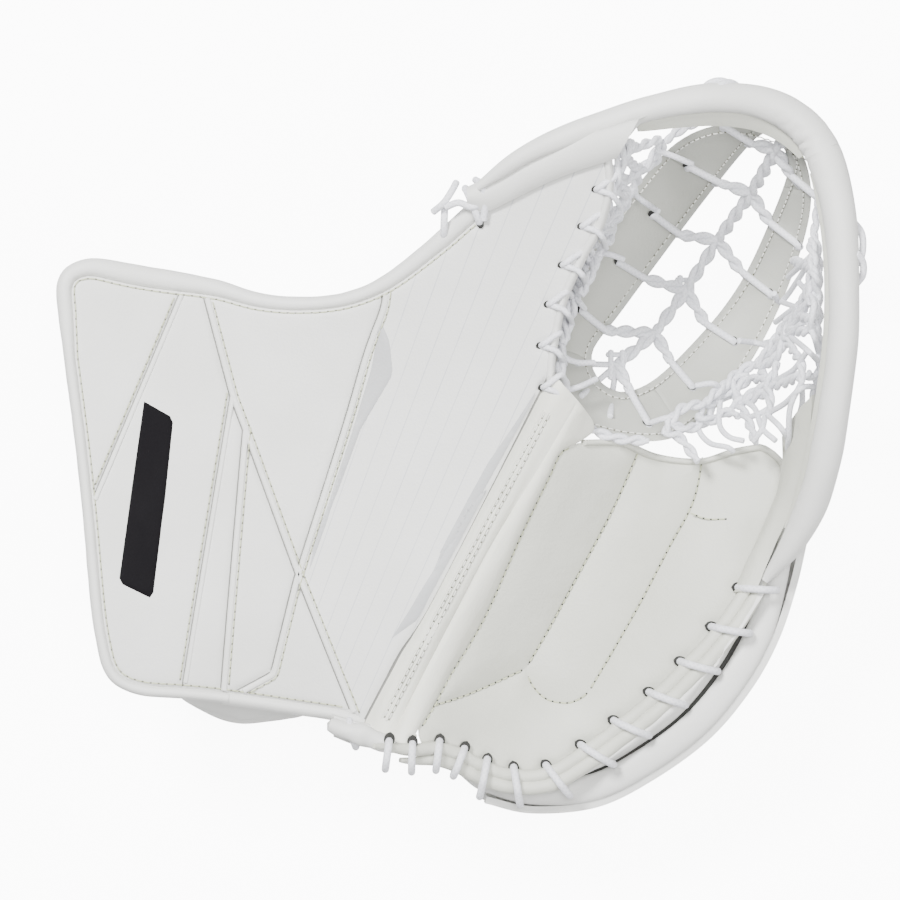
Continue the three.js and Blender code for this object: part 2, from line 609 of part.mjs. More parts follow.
// ---- Wrist: side wall, back pad and the closing straps ----
function wrist() {
  const foot = [[-140, -96], [-126, -98], [-104, -98], [-82, -98], [-64, -94]];
  add('cuff_side_gusset', wall(
    [[-150, -104, 92], [-132, -106, 90], [-104, -108, 88], [-76, -112, 86], [-52, -116, 84]],
    foot.map(([x, y]) => [x, y, WRIST_PAD + 1.5 * GAP]), 8, 4, 3, 16), LEATHER);
  add('wrist_pad', level([
    [-152, -100], [-64, -100], [-60, -60], [-62, -10], [-74, 6], [-138, 6], [-152, -10],
  ], 0, WRIST_PAD), LEATHER);
}

function wristStrap() {
  const x = STRAP_X;
  const across = [1, 0, 0];
  add('strap_anchor', ribbon([[x, 64, 89], [x, 52, 88], [x, 40, 84], [x, 34, 74], [x, 33, 61.5]], across,
    STRAP, STRAP_T, 6), NYLON, 0.8);
  const [width, height, bar] = RING;
  const corners = (a, b) => [[-a, -b], [a, -b], [a, b], [-a, b]].map((p) => new THREE.Vector2(...p));
  const ring = new THREE.Shape(corners(width / 2, height / 2));
  ring.holes.push(new THREE.Path(corners(width / 2 - bar - 0.5, height / 2 - bar)));
  const body = new THREE.ExtrudeGeometry(ring, { depth: bar, bevelEnabled: false });
  body.rotateX(Math.PI / 2);
  body.translate(x, 34.5, 54.5);
  add('strap_ring', body, PLASTIC, 0.4);
  add('wrist_strap', ribbon([[x, 2, 14], [x, 12, 16], [x, 20, 26], [x, 24, 38], [x, 26, 47]], across,
    STRAP, STRAP_T, 8), NYLON, 0.8);
  add('wrist_strap_flap', ribbon([[x, 37.8, 48], [x, 37, 38], [x, 33, 26], [x, 28, 15], [x, 22, 6]], across,
    STRAP, STRAP_T, 8), LEATHER);
}

function handStrap() {
  const z = BACK + BACK_PAD + 2 * GAP + STRAP_T / 2;
  add('hand_strap', ribbon([[-10, -128, z], [-8, -118, z + 6], [-4, -96, z + 12], [4, -70, z + 12],
    [12, -48, z + 6], [16, -38, z]], [0.95, -0.3, 0], STRAP, STRAP_T, 10), NYLON, 0.8);
}

// ---- Laces on the thumb and at the heel ----
function thumbLaces() {
  const over = (x, y) => {
    const out = [-0.55, 0.83];
    const at = (reach, rise) => [x + out[0] * reach, y + out[1] * reach, faceZ(x, y) + rise];
    const route = [at(-7, LACE + 1.2), at(0, LACE + 1.2), at(9, LACE + 0.4), at(14.5, -5), at(13, -14)];
    return tube(route, LACE, 8, 6);
  };
  add('thumb_lace_lower', over(-9, 100), CORD, 0.8);
  add('thumb_lace_upper', over(8, 112), CORD, 0.8);
  const [hx, hy] = [-45, -122];
  const z = faceZ(hx, hy);
  add('heel_lace', tube([[hx + 2, hy + 8, z + 3.6], [hx + 1, hy - 2, z + 4], [hx, hy - 12, z + 1],
    [hx - 1, hy - 17, z - 7], [hx, hy - 15, z - 16]], LACE, 8, 6), CORD, 0.8);
}

cuffPanels();
appliques();
cuffCore();
cuffEdge();
thumbLip();
bead();
pocketSpine();
nets();
palm();
palmLace();
fingerLip();
breakStrips();
backOfHand();
stalls();
thumbBack();
wrist();
wristStrap();
handStrap();
thumbLaces();

export default glove;
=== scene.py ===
"""A goalkeeper's catch glove for ice sports, lying on its back with the catching face up.

Shapes are worked out in millimetres and turned into metres when a mesh is made.
"""
import json
import math

import bmesh
import bpy
import numpy as np
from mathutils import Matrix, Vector, geometry, noise

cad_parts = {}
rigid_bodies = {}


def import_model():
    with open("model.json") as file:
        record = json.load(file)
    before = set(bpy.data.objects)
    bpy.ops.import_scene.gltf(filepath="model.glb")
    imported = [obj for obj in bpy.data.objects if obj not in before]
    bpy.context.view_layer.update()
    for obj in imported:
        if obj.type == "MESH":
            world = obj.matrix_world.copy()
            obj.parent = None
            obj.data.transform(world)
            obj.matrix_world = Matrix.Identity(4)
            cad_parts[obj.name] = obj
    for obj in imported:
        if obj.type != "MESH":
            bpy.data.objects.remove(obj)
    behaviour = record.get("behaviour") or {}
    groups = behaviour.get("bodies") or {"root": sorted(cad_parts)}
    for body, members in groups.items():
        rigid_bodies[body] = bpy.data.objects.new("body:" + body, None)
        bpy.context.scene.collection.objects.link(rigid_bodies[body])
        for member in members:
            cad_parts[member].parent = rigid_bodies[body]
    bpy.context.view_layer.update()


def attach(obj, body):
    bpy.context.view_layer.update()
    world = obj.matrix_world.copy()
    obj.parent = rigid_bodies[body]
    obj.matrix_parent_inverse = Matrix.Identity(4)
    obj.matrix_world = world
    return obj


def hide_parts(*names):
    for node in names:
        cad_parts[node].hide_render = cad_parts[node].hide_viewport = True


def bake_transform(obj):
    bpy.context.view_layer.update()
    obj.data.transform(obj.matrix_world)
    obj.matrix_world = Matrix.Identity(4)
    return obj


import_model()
MM = 0.001

# ---- Driving dimensions, in millimetres ----
SKIN = 3.2            # padded leather skin
BOARD = 7.0           # stiff core of the cuff and thumb
LACE = 1.7            # radius of the thick laces
WEB = 1.45            # radius of the cords in the net
THREAD = 0.32         # radius of the sewing thread
HEEL = np.array([-40.0, -134.0, 99.0])
CORNER = np.array([165.0, 163.0, 150.0])
ALONG = (CORNER - HEEL)[:2] / np.hypot(*(CORNER - HEEL)[:2])
ROOT, SPINE, PALM = "cuff_thumb", "pocket_spine", "palm_fingers"


# ---- The glove's curved surfaces ----
def fold_u(x, y):
    return (x - HEEL[0]) * ALONG[0] + (y - HEEL[1]) * ALONG[1]


def fold_v(x, y):
    return (x - HEEL[0]) * ALONG[1] - (y - HEEL[1]) * ALONG[0]


def face_z(x, y):
    flare = np.minimum(0, x + 90)
    rise = np.maximum(0, 0.6 * (x + 60) + 0.8 * y)
    heel = np.minimum(0, y + 60)
    return 104 + 0.0009 * flare**2 + 0.00127 * rise**2 - 0.0012 * heel**2


def palm_z(x, y):
    return 78 + 0.0075 * (fold_v(x, y) - 60) ** 2 + 0.004 * np.minimum(0, fold_u(x, y) - 70) ** 2


def spine_z(x, y):
    u = fold_u(x, y) - 262
    return 38 + np.where(u < 0, 0.0075, 0.0125) * u**2 + 0.01 * (fold_v(x, y) - 5) ** 2


# ---- Curves ----
def spline(points, step=2.0):
    """Evenly spaced points on a smooth line through a few points."""
    p = np.array([(*q, 0.0)[:3] for q in points], float)
    p = np.vstack([2 * p[0] - p[1], p, 2 * p[-1] - p[-2]])
    dense = []
    t = np.linspace(0, 1, 24, endpoint=False)[:, None]
    for a, b, c, d in zip(p, p[1:], p[2:], p[3:]):
        curve = 2 * b + (c - a) * t + (2 * a - 5 * b + 4 * c - d) * t**2 + (3 * b - a - 3 * c + d) * t**3
        dense.append(curve / 2)
    dense = np.vstack([*dense, p[-2:-1]])
    return even(dense, step)


def even(points, step):
    """The same line with evenly spaced points."""
    p = np.asarray(points, float)
    run = np.concatenate([[0], np.cumsum(np.linalg.norm(np.diff(p, axis=0), axis=1))])
    count = max(2, int(round(run[-1] / step)) + 1)
    at = np.linspace(0, run[-1], count)
    return np.stack([np.interp(at, run, p[:, k]) for k in range(p.shape[1])], axis=1)


def on(points, surface, rise=0.0):
    """Plan points lifted onto a surface."""
    p = np.asarray(points, float)
    return np.column_stack([p[:, 0], p[:, 1], surface(p[:, 0], p[:, 1]) + rise])


def tangents(path):
    t = np.gradient(path, axis=0)
    return t / np.maximum(np.linalg.norm(t, axis=1, keepdims=True), 1e-9)


def sideways(path, distance):
    """A plan line moved to its right by a distance."""
    t = tangents(path)
    moved = path.copy()
    moved[:, 0] += t[:, 1] * distance
    moved[:, 1] -= t[:, 0] * distance
    return moved


# ---- Meshes ----
class Shape:
    """Collects vertices, faces and texture coordinates, and makes one object of them."""

    def __init__(self):
        self.verts, self.faces, self.uvs, self.count = [], [], [], 0

    def add(self, verts, faces, uvs=None):
        self.verts.append(np.asarray(verts, float))
        for k, face in enumerate(faces):
            self.faces.append([i + self.count for i in face])
            self.uvs.append(uvs[k] if uvs else [(0.0, 0.0)] * len(face))
        self.count += len(verts)

    def sweep(self, path, a, b=None, sides=12, up=None, across=None, power=1.0, bumps=None,
              cap=0.45):
        """A round or oval rod along a path. a is its half width, b its half height along up."""
        path = np.asarray(path, float)
        n = len(path)
        a = np.broadcast_to(np.asarray(a, float), (n,))
        b = a if b is None else np.broadcast_to(np.asarray(b, float), (n,))
        t = tangents(path)
        side, lift = frames(t, up, across)
        run = np.concatenate([[0], np.cumsum(np.linalg.norm(np.diff(path, axis=0), axis=1))])
        angle = np.linspace(0, 2 * math.pi, sides, endpoint=False)
        c, s = np.cos(angle)[None], np.sin(angle)[None]
        c, s = np.sign(c) * np.abs(c) ** power, np.sign(s) * np.abs(s) ** power
        more = bumps(run[:, None], angle[None]) if bumps else 0.0
        ring = path[:, None] + ((a[:, None] + more) * c)[..., None] * side[:, None]
        ring = ring + ((b[:, None] + more) * s)[..., None] * lift[:, None]
        verts = ring.reshape(-1, 3)
        faces, uvs = [], []
        for i in range(n - 1):
            for k in range(sides):
                m = (k + 1) % sides
                faces.append([i * sides + k, i * sides + m, (i + 1) * sides + m, (i + 1) * sides + k])
                u0, u1 = k / sides, (k + 1) / sides
                uvs.append([(u0, run[i]), (u1, run[i]), (u1, run[i + 1]), (u0, run[i + 1])])
        ends = [path[0] - t[0] * a[0] * cap, path[-1] + t[-1] * a[-1] * cap]
        verts = np.vstack([verts, ends])
        for k in range(sides):
            m = (k + 1) % sides
            faces.append([n * sides, m, k])
            faces.append([n * sides + 1, (n - 1) * sides + k, (n - 1) * sides + m])
            uvs += [[(k / sides, 0.0)] * 3, [(k / sides, run[-1])] * 3]
        self.add(verts, [face[::-1] for face in faces], [corner[::-1] for corner in uvs])

    def ring(self, points):
        """A closed surface through rows of points, each row a loop, with both ends shut."""
        rows, cols = points.shape[:2]
        faces = []
        for i in range(rows - 1):
            for k in range(cols):
                m = (k + 1) % cols
                faces.append([i * cols + k, i * cols + m, (i + 1) * cols + m, (i + 1) * cols + k])
        faces += [list(range(cols))[::-1], [(rows - 1) * cols + k for k in range(cols)]]
        self.add(points.reshape(-1, 3), faces)

    def shell(self, points, thickness):
        """A sheet through rows of points, with a thickness on its lower side."""
        du, dv = np.gradient(points, axis=0), np.gradient(points, axis=1)
        normal = np.cross(du, dv)
        normal /= np.maximum(np.linalg.norm(normal, axis=2, keepdims=True), 1e-9)
        rows, cols = points.shape[:2]
        both = np.vstack([points.reshape(-1, 3), (points - normal * thickness).reshape(-1, 3)])
        base, faces = rows * cols, []
        for i in range(rows - 1):
            for k in range(cols - 1):
                a, b, c, d = i * cols + k, (i + 1) * cols + k, (i + 1) * cols + k + 1, i * cols + k + 1
                faces += [[a, b, c, d], [base + d, base + c, base + b, base + a]]
        edge = [k for k in range(cols - 1)] + [i * cols + cols - 1 for i in range(rows - 1)]
        edge += [(rows - 1) * cols + k for k in range(cols - 1, 0,
            -1)] + [i * cols for i in range(rows - 1, 0, -1)]
        for a, b in zip(edge, edge[1:] + edge[:1]):
            faces.append([a, b, base + b, base + a])
        self.add(both, faces)

    def object(self, name, material, smooth=True):
        mesh = bpy.data.meshes.new(name)
        mesh.from_pydata((np.vstack(self.verts) * MM).tolist(), [], self.faces)
        layer = mesh.uv_layers.new(name="UVMap")
        flat = np.array([c for face in self.uvs for uv in face for c in uv], np.float32)
        layer.data.foreach_set("uv", flat)
        mesh.validate()
        obj = bpy.data.objects.new(name, mesh)
        bpy.context.collection.objects.link(obj)
        mesh.materials.append(material)
        mesh.polygons.foreach_set("use_smooth", [smooth] * len(mesh.polygons))
        mesh.set_sharp_from_angle(angle=math.radians(50))
        return obj


def frames(t, up=None, across=None):
    """Two directions across a path: upright, with a given width direction, or without turning."""
    if across is not None:
        side = np.broadcast_to(np.asarray(across, float), t.shape)
        side = side - t * np.sum(side * t, axis=1, keepdims=True)
        side /= np.maximum(np.linalg.norm(side, axis=1, keepdims=True), 1e-9)
        return side, np.cross(side, t)
    if up is not None:
        side = np.cross(t, np.broadcast_to(np.asarray(up, float), t.shape))
        side /= np.maximum(np.linalg.norm(side, axis=1, keepdims=True), 1e-9)
        return side, np.cross(side, t)
    side = np.zeros_like(t)
    first = np.cross(t[0], [0, 0, 1] if abs(t[0][2]) < 0.9 else [1, 0, 0])
    side[0] = first / np.linalg.norm(first)
    for i in range(1, len(t)):
        s = side[i - 1] - t[i] * (side[i - 1] @ t[i])
        side[i] = s / max(np.linalg.norm(s), 1e-9)
    return side, np.cross(side, t)


def closed(obj):
    """The upper and lower skins of a pad, joined along the edge where they meet."""
    mesh = bmesh.new()
    mesh.from_mesh(obj.data)
    bmesh.ops.remove_doubles(mesh, verts=mesh.verts, dist=0.0003)
    mesh.to_mesh(obj.data)
    mesh.free()
    return obj


# ---- Materials ----
class Graph:
    """A node material built from named sockets."""

    def __init__(self, name):
        self.material = bpy.data.materials.new(name)
        self.material.use_nodes = True
        self.tree = self.material.node_tree
        self.shader = self.tree.nodes["Principled BSDF"]
        self.place = self.node("ShaderNodeTexCoord").outputs["Object"]

    def node(self, kind, props=None, **inputs):
        made = self.tree.nodes.new(kind)
        for key, value in (props or {}).items():
            setattr(made, key, value)
        for key, value in inputs.items():
            socket = made.inputs[int(key[1:])] if key[0] == "_" else made.inputs[key.replace("_", " ")]
            self.put(socket, value)
        return made

    def put(self, socket, value):
        if isinstance(value, bpy.types.NodeSocket):
            self.tree.links.new(value, socket)
        else:
            socket.default_value = value

    def math(self, operation, a, b=0.0, c=0.0):
        return self.node("ShaderNodeMath", {"operation": operation}, _0=a, _1=b, _2=c).outputs[0]

    def noise(self, scale, detail=3.0, roughness=0.5, place=None):
        return self.node("ShaderNodeTexNoise", Vector=place or self.place, Scale=scale, Detail=detail,
                         Roughness=roughness).outputs["Fac"]

    def ramp(self, value, low, high, start=0.0, end=1.0):
        return self.node("ShaderNodeMapRange", Value=value, From_Min=low, From_Max=high, To_Min=start,
                         To_Max=end).outputs["Result"]

    def mix(self, factor, a, b):
        made = self.node("ShaderNodeMix", {"data_type": "RGBA"})
        self.put(made.inputs[0], factor)
        self.put(made.inputs[6], a)
        self.put(made.inputs[7], b)
        return made.outputs[2]

    def bump(self, height, distance, strength=1.0, normal=None):
        made = self.node("ShaderNodeBump", Height=height, Distance=distance, Strength=strength)
        if normal is not None:
            self.put(made.inputs["Normal"], normal)
        return made.outputs["Normal"]

    def finish(self, colour, roughness, normal=None, **other):
        self.put(self.shader.inputs["Base Color"], colour)
        self.put(self.shader.inputs["Roughness"], roughness)
        if normal is not None:
            self.put(self.shader.inputs["Normal"], normal)
        for key, value in other.items():
            self.put(self.shader.inputs[key.replace("_", " ")], value)
        return self.material


def rgb(r, g, b):
    return (r, g, b, 1.0)


def leather_nodes(g, colour, shade, roughness, grain=0.00009, soft=0.0006):
    """Coated leather: fine pebble grain, soft unevenness and slight colour variation."""
    cells = g.node("ShaderNodeTexVoronoi", {"feature": "SMOOTH_F1"}, Vector=g.place, Scale=850.0,
                   Smoothness=0.4).outputs["Distance"]
    uneven = g.noise(55.0, 3.0)
    fine = g.noise(2600.0, 2.0)
    tone = g.mix(g.ramp(g.noise(18.0, 4.0), 0.35, 0.7), colour, shade)
    soft_normal = g.bump(uneven, soft, 0.7)
    normal = g.bump(g.math("ADD", cells, g.math("MULTIPLY", fine, 0.4)), grain, 0.8, soft_normal)
    rough = g.ramp(g.math("ADD", g.noise(35.0, 3.0), g.math("MULTIPLY", cells, 0.25)), 0.3, 0.9,
                   roughness - 0.07, roughness + 0.1)
    return tone, rough, normal


def leather(name, colour, shade, roughness=0.5, grain=0.00009, soft=0.0006, shine=0.4):
    g = Graph(name)
    tone, rough, normal = leather_nodes(g, colour, shade, roughness, grain, soft)
    return g.finish(tone, rough, normal, Specular_IOR_Level=shine)


def pinstripe(name, colour, shade, line, focus, pitch, width):
    """Leather printed with hairlines that fan out from a point far behind the heel."""
    g = Graph(name)
    tone, rough, normal = leather_nodes(g, colour, shade, 0.48)
    xyz = g.node("ShaderNodeSeparateXYZ", Vector=g.place).outputs
    angle = g.math("ARCTAN2", g.math("SUBTRACT", xyz[1], focus[1] * MM),
                   g.math("SUBTRACT", xyz[0], focus[0] * MM))
    phase = g.math("FRACT", g.math("DIVIDE", angle, pitch))
    reach = g.math("ABSOLUTE", g.math("SUBTRACT", phase, 0.5))
    mask = g.ramp(reach, width * 0.5, width, 1.0, 0.0)
    worn = g.math("MULTIPLY", mask, g.ramp(g.noise(60.0), 0.3, 0.6, 0.55, 1.0))
    return g.finish(g.mix(worn, tone, line), rough, normal, Specular_IOR_Level=0.42)


def braid(name, colour, shade, pitch=2.6):
    """Round braided cord: strands that cross in a herringbone, told from the cord's own UVs."""
    g = Graph(name)
    uv = g.node("ShaderNodeTexCoord").outputs["UV"]
    xy = g.node("ShaderNodeSeparateXYZ", Vector=uv).outputs
    around = g.math("MULTIPLY", xy[0], 4.0)
    along = g.math("DIVIDE", xy[1], pitch)

    def strand(sign):
        turn = g.math("ADD", along, g.math("MULTIPLY", around, sign))
        return g.math("SINE", g.math("MULTIPLY", turn, 2 * math.pi))

    weave = g.math("MAXIMUM", strand(1.0), strand(-1.0))
    fuzz = g.noise(1800.0, 3.0)
    height = g.math("ADD", g.ramp(weave, -0.4, 1.0), g.math("MULTIPLY", fuzz, 0.35))
    # Painted shade: the cord's colour darkens in the dips between its strands.
    tone = g.mix(g.ramp(weave, -0.6, 0.9), shade, colour)
    return g.finish(tone, 0.62, g.bump(height, 0.00007, 0.7), Sheen_Weight=0.15, Sheen_Roughness=0.5,
                    Specular_IOR_Level=0.35)


def woven(name, colour, shade, pitch, ribs=0.35, roughness=0.85):
    """Woven nylon: warp and weft as crossed waves."""
    g = Graph(name)
    mapping = {"wave_type": "BANDS", "bands_direction": "DIAGONAL"}
    warp = g.node("ShaderNodeTexWave", mapping, Vector=g.place, Scale=1.0 / (pitch * MM) / 3.0,
                  Distortion=0.6).outputs["Fac"]
    weft = g.node("ShaderNodeTexWave", {"wave_type": "BANDS", "bands_direction": "Y"}, Vector=g.place,
                  Scale=1.0 / (pitch * MM) / 3.0, Distortion=0.6).outputs["Fac"]
    weave = g.math("MULTIPLY", warp, weft)
    # Partly painted shade: the colour darkens where the yarns dip; the noise gives a random tone as well.
    tone = g.mix(g.ramp(g.math("ADD", weave, g.noise(40.0)), 0.4, 1.4), shade, colour)
    return g.finish(tone, roughness, g.bump(weave, ribs * MM, 0.7), Sheen_Weight=0.15,
                    Specular_IOR_Level=0.25)


def plain(name, colour, shade, roughness, scale=300.0, depth=0.00006, **other):
    """Moulded or foamed plastic with a slightly uneven surface."""
    g = Graph(name)
    grain = g.noise(scale, 4.0)
    tone = g.mix(g.ramp(g.noise(25.0), 0.3, 0.7), colour, shade)
    return g.finish(tone, g.ramp(grain, 0.3, 0.7, roughness - 0.06, roughness + 0.08),
                    g.bump(grain, depth, 0.6), **other)


WHITE = leather("leather_white", rgb(0.66, 0.66, 0.64), rgb(0.62, 0.62, 0.595))
PALM_WHITE = leather("leather_palm", rgb(0.54, 0.545, 0.485), rgb(0.50, 0.505, 0.445), 0.55, 0.00012, 0.001)
# Painted shade: the palm's leather made darker for the spine, deep at the bottom of the pocket.
SPINE_SHADED = leather("leather_spine_shaded", rgb(0.42, 0.425, 0.385), rgb(0.38, 0.385, 0.345), 0.5, 0.00012, 0.001)
CREAM = leather("leather_cream", rgb(0.68, 0.68, 0.61), rgb(0.65, 0.65, 0.58), 0.55)
GREY = leather("leather_grey", rgb(0.42, 0.425, 0.43), rgb(0.39, 0.395, 0.40), 0.45)
BADGE = leather("badge_black", rgb(0.005, 0.0045, 0.0055), rgb(0.007, 0.0065, 0.0075), 0.75, shine=0.06)
STRIPED = pinstripe("leather_pinstripe", rgb(0.67, 0.67, 0.655), rgb(0.64, 0.64, 0.62),
                    rgb(0.47, 0.48, 0.50), (-260.0, -600.0), 0.0138, 0.03)
CORD = braid("lace_cord", rgb(0.72, 0.725, 0.76), rgb(0.62, 0.625, 0.665))
THREAD_MAT = plain("thread_pale", rgb(0.50, 0.52, 0.36), rgb(0.45, 0.47, 0.31), 0.6, 900.0)
THREAD_WHITE = plain("thread_white", rgb(0.74, 0.74, 0.70), rgb(0.68, 0.68, 0.63), 0.6, 900.0)
# Painted shade: near-black for lace holes, the palm's needle holes and the gap under the finger rim.
DARK = plain("hole_and_gap_shade", rgb(0.012, 0.012, 0.011), rgb(0.02, 0.02, 0.018), 0.85)
# Painted shade: dark dots for the needle holes between stitches.
PIN = plain("needle_hole_shade", rgb(0.12, 0.12, 0.09), rgb(0.16, 0.16, 0.12), 0.8)
# Painted shade: a dark grey for thin strips laid in seam grooves and under the face's edge.
CREASE_SHADE = plain("crease_shadow", rgb(0.15, 0.15, 0.14), rgb(0.20, 0.20, 0.185), 0.8)
LINING = woven("lining_fabric", rgb(0.10, 0.10, 0.105), rgb(0.055, 0.055, 0.06), 1.1)
WEBBING = woven("webbing", rgb(0.085, 0.085, 0.09), rgb(0.04, 0.04, 0.043), 1.8, 0.5)
CORE = plain("board_core", rgb(0.42, 0.42, 0.42), rgb(0.36, 0.36, 0.36), 0.75)
PLASTIC = plain("ring_plastic", rgb(0.03, 0.03, 0.032), rgb(0.045, 0.045, 0.05), 0.35, 500.0)
FOAM = plain("foam_dark", rgb(0.12, 0.12, 0.125), rgb(0.09, 0.09, 0.095), 0.9, 700.0, 0.0003)


# ---- Sewing ----
def stitch_template(length, radius):
    """One stitch as a small rod that dives at both ends, along +X with +Z up."""
    x = np.linspace(-0.5, 0.5, 7) * length
    z = radius * (1.3 - 9.0 * (x / length) ** 4 * 2)
    shape = Shape()
    shape.sweep(np.column_stack([x, 0 * x, z]), radius, sides=6, up=(0, 0, 1))
    return np.vstack(shape.verts), shape.faces


def place_along(shape, template, line, normals, at):
    """Copies of a template at given distances along a line."""
    verts, faces = template
    run = np.concatenate([[0], np.cumsum(np.linalg.norm(np.diff(line, axis=0), axis=1))])
    t = tangents(line)
    for s in at:
        p = np.array([np.interp(s, run, line[:, k]) for k in range(3)])
        d = np.array([np.interp(s, run, t[:, k]) for k in range(3)])
        n = np.array([np.interp(s, run, normals[:, k]) for k in range(3)])
        d /= np.linalg.norm(d)
        side = np.cross(n, d)
        side /= np.linalg.norm(side)
        basis = np.stack([d, side, np.cross(d, side)])
        shape.add(verts @ basis + p, faces)


def surface_normals(line, surface):
    """Normals of a height surface along a line."""
    x, y, h = line[:, 0], line[:, 1], 0.5
    dx = (surface(x + h, y) - surface(x - h, y)) / (2 * h)
    dy = (surface(x, y + h) - surface(x, y - h)) / (2 * h)
    n = np.column_stack([-dx, -dy, np.ones_like(dx)])
    return n / np.linalg.norm(n, axis=1, keepdims=True)


class Sewing:
    """All the stitches of one thread on one body, with the needle holes between them drawn as dark dots of
    painted shade.
    """

    def __init__(self, length=2.7, pitch=3.9):
        self.thread, self.holes = Shape(), Shape()
        self.pitch, self.template = pitch, stitch_template(length, THREAD)
        dot = Shape()
        dot.sweep([[-0.45, 0, 0.02], [0, 0, 0.06], [0.45, 0, 0.02]], 0.38, 0.26, sides=8, up=(0, 0, 1))
        self.dot = (np.vstack(dot.verts), dot.faces)

    def run(self, line, normals):
        length = np.sum(np.linalg.norm(np.diff(line, axis=0), axis=1))
        at = np.arange(self.pitch / 2, length, self.pitch)
        place_along(self.thread, self.template, line, normals, at)
        place_along(self.holes, self.dot, line, normals, at + self.pitch / 2)

    def objects(self, name, body, material=None, holes=None):
        thread = self.thread.object(name + "_thread", material or THREAD_MAT)
        holes = self.holes.object(name + "_holes", holes or PIN)
        for obj in (thread, holes):
            carry(obj, body)
        return thread, holes


# ---- Sewn panels on a curved surface ----
def inside(points, polygon):
    """Which plan points lie inside a polygon."""
    p, poly = np.asarray(points, float), np.asarray(polygon, float)
    hit = np.zeros(len(p), bool)
    for a, b in zip(poly, np.roll(poly, -1, axis=0)):
        crosses = (a[1] > p[:, 1]) != (b[1] > p[:, 1])
        with np.errstate(divide="ignore", invalid="ignore"):
            x = (b[0] - a[0]) * (p[:, 1] - a[1]) / (b[1] - a[1]) + a[0]
        hit ^= crosses & (p[:, 0] < x)
    return hit


def distance(points, lines):
    """Distance of plan points from a set of polylines."""
    p = np.asarray(points, float)[:, None, :2]
    a = np.vstack([line[:-1, :2] for line in lines])[None]
    b = np.vstack([line[1:, :2] for line in lines])[None]
    d = b - a
    t = np.clip(np.sum((p - a) * d, axis=2) / np.maximum(np.sum(d * d, axis=2), 1e-9), 0, 1)
    return np.min(np.linalg.norm(p - (a + t[..., None] * d), axis=2), axis=1)


def triangulate(outline, seams, spacing, rows, hole=None):
    """Triangles inside an outline, with edges along every seam and close rows beside them."""
    closed = np.vstack([outline, outline[:1]])
    lines = [closed, *seams] + ([np.vstack([hole, hole[:1]])] if hole is not None else [])
    fixed = [even(line[:, :2], spacing * 0.9) for line in lines]
    verts, edges = [], []
    for line in fixed:
        start = len(verts)
        verts += [tuple(q) for q in line]
        edges += [(start + i, start + i + 1) for i in range(len(line) - 1)]
    extra = []
    taken = 0.0
    for row in rows:
        ring = []
        for line in fixed:
            path = np.column_stack([line, np.zeros(len(line))])
            for side in (-row, row):
                ring.append(sideways(path, side)[:, :2])
        ring = np.vstack(ring)
        keep = distance(ring, fixed) > row * 0.9
        extra.append(ring[keep])
        taken = row
    lo, hi = outline[:, :2].min(0), outline[:, :2].max(0)
    gx = np.arange(lo[0], hi[0], spacing)
    gy = np.arange(lo[1], hi[1], spacing * 0.87)
    grid = np.array([(x + (spacing / 2 if j % 2 else 0) + 0.137, y + 0.071) for j,
        y in enumerate(gy) for x in gx])
    grid = grid[distance(grid, fixed) > taken + spacing * 0.5]
    extra = np.vstack([*extra, grid])
    extra = extra[inside(extra, outline)]
    if hole is not None:
        extra = extra[~inside(extra, hole)]
    verts += [tuple(q) for q in extra]
    done = geometry.delaunay_2d_cdt([Vector(v) for v in verts], edges, [], 0, 0.02, True)
    points = np.array([tuple(v) for v in done[0]])
    creases = {tuple(sorted(e)) for e, origin in zip(done[1], done[4]) if origin}
    middle = np.array([points[list(f)].mean(0) for f in done[2]])
    keep = inside(middle, outline)
    if hole is not None:
        keep &= ~inside(middle, hole)
    return points, [f for f, k in zip(done[2], keep) if k], creases


def regions(faces, creases):
    """Faces grouped into the panels that the creases divide them into."""
    beside = {}
    for index, face in enumerate(faces):
        for a, b in zip(face, face[1:] + face[:1]):
            beside.setdefault(tuple(sorted((a, b))), []).append(index)
    label = [-1] * len(faces)
    groups = []
    for seed in range(len(faces)):
        if label[seed] >= 0:
            continue
        label[seed] = len(groups)
        stack, group = [seed], []
        while stack:
            index = stack.pop()
            group.append(index)
            face = faces[index]
            for a, b in zip(face, face[1:] + face[:1]):
                key = tuple(sorted((a, b)))
                if key in creases:
                    continue
                for other in beside[key]:
                    if label[other] < 0:
                        label[other] = label[seed]
                        stack.append(other)
        groups.append(group)
    return groups


def crown(d, height, width, power=2.0):
    """Height of a stuffed panel at a distance from its seams."""
    return height * (1 - (1 - np.clip(d / width, 0, 1)) ** power)


def ripple(points, size, amount):
    """Soft unevenness of stuffed leather."""
    return np.array([noise.noise(Vector((x / size, y / size, 3.7))) for x, y in points[:, :2]]) * amount


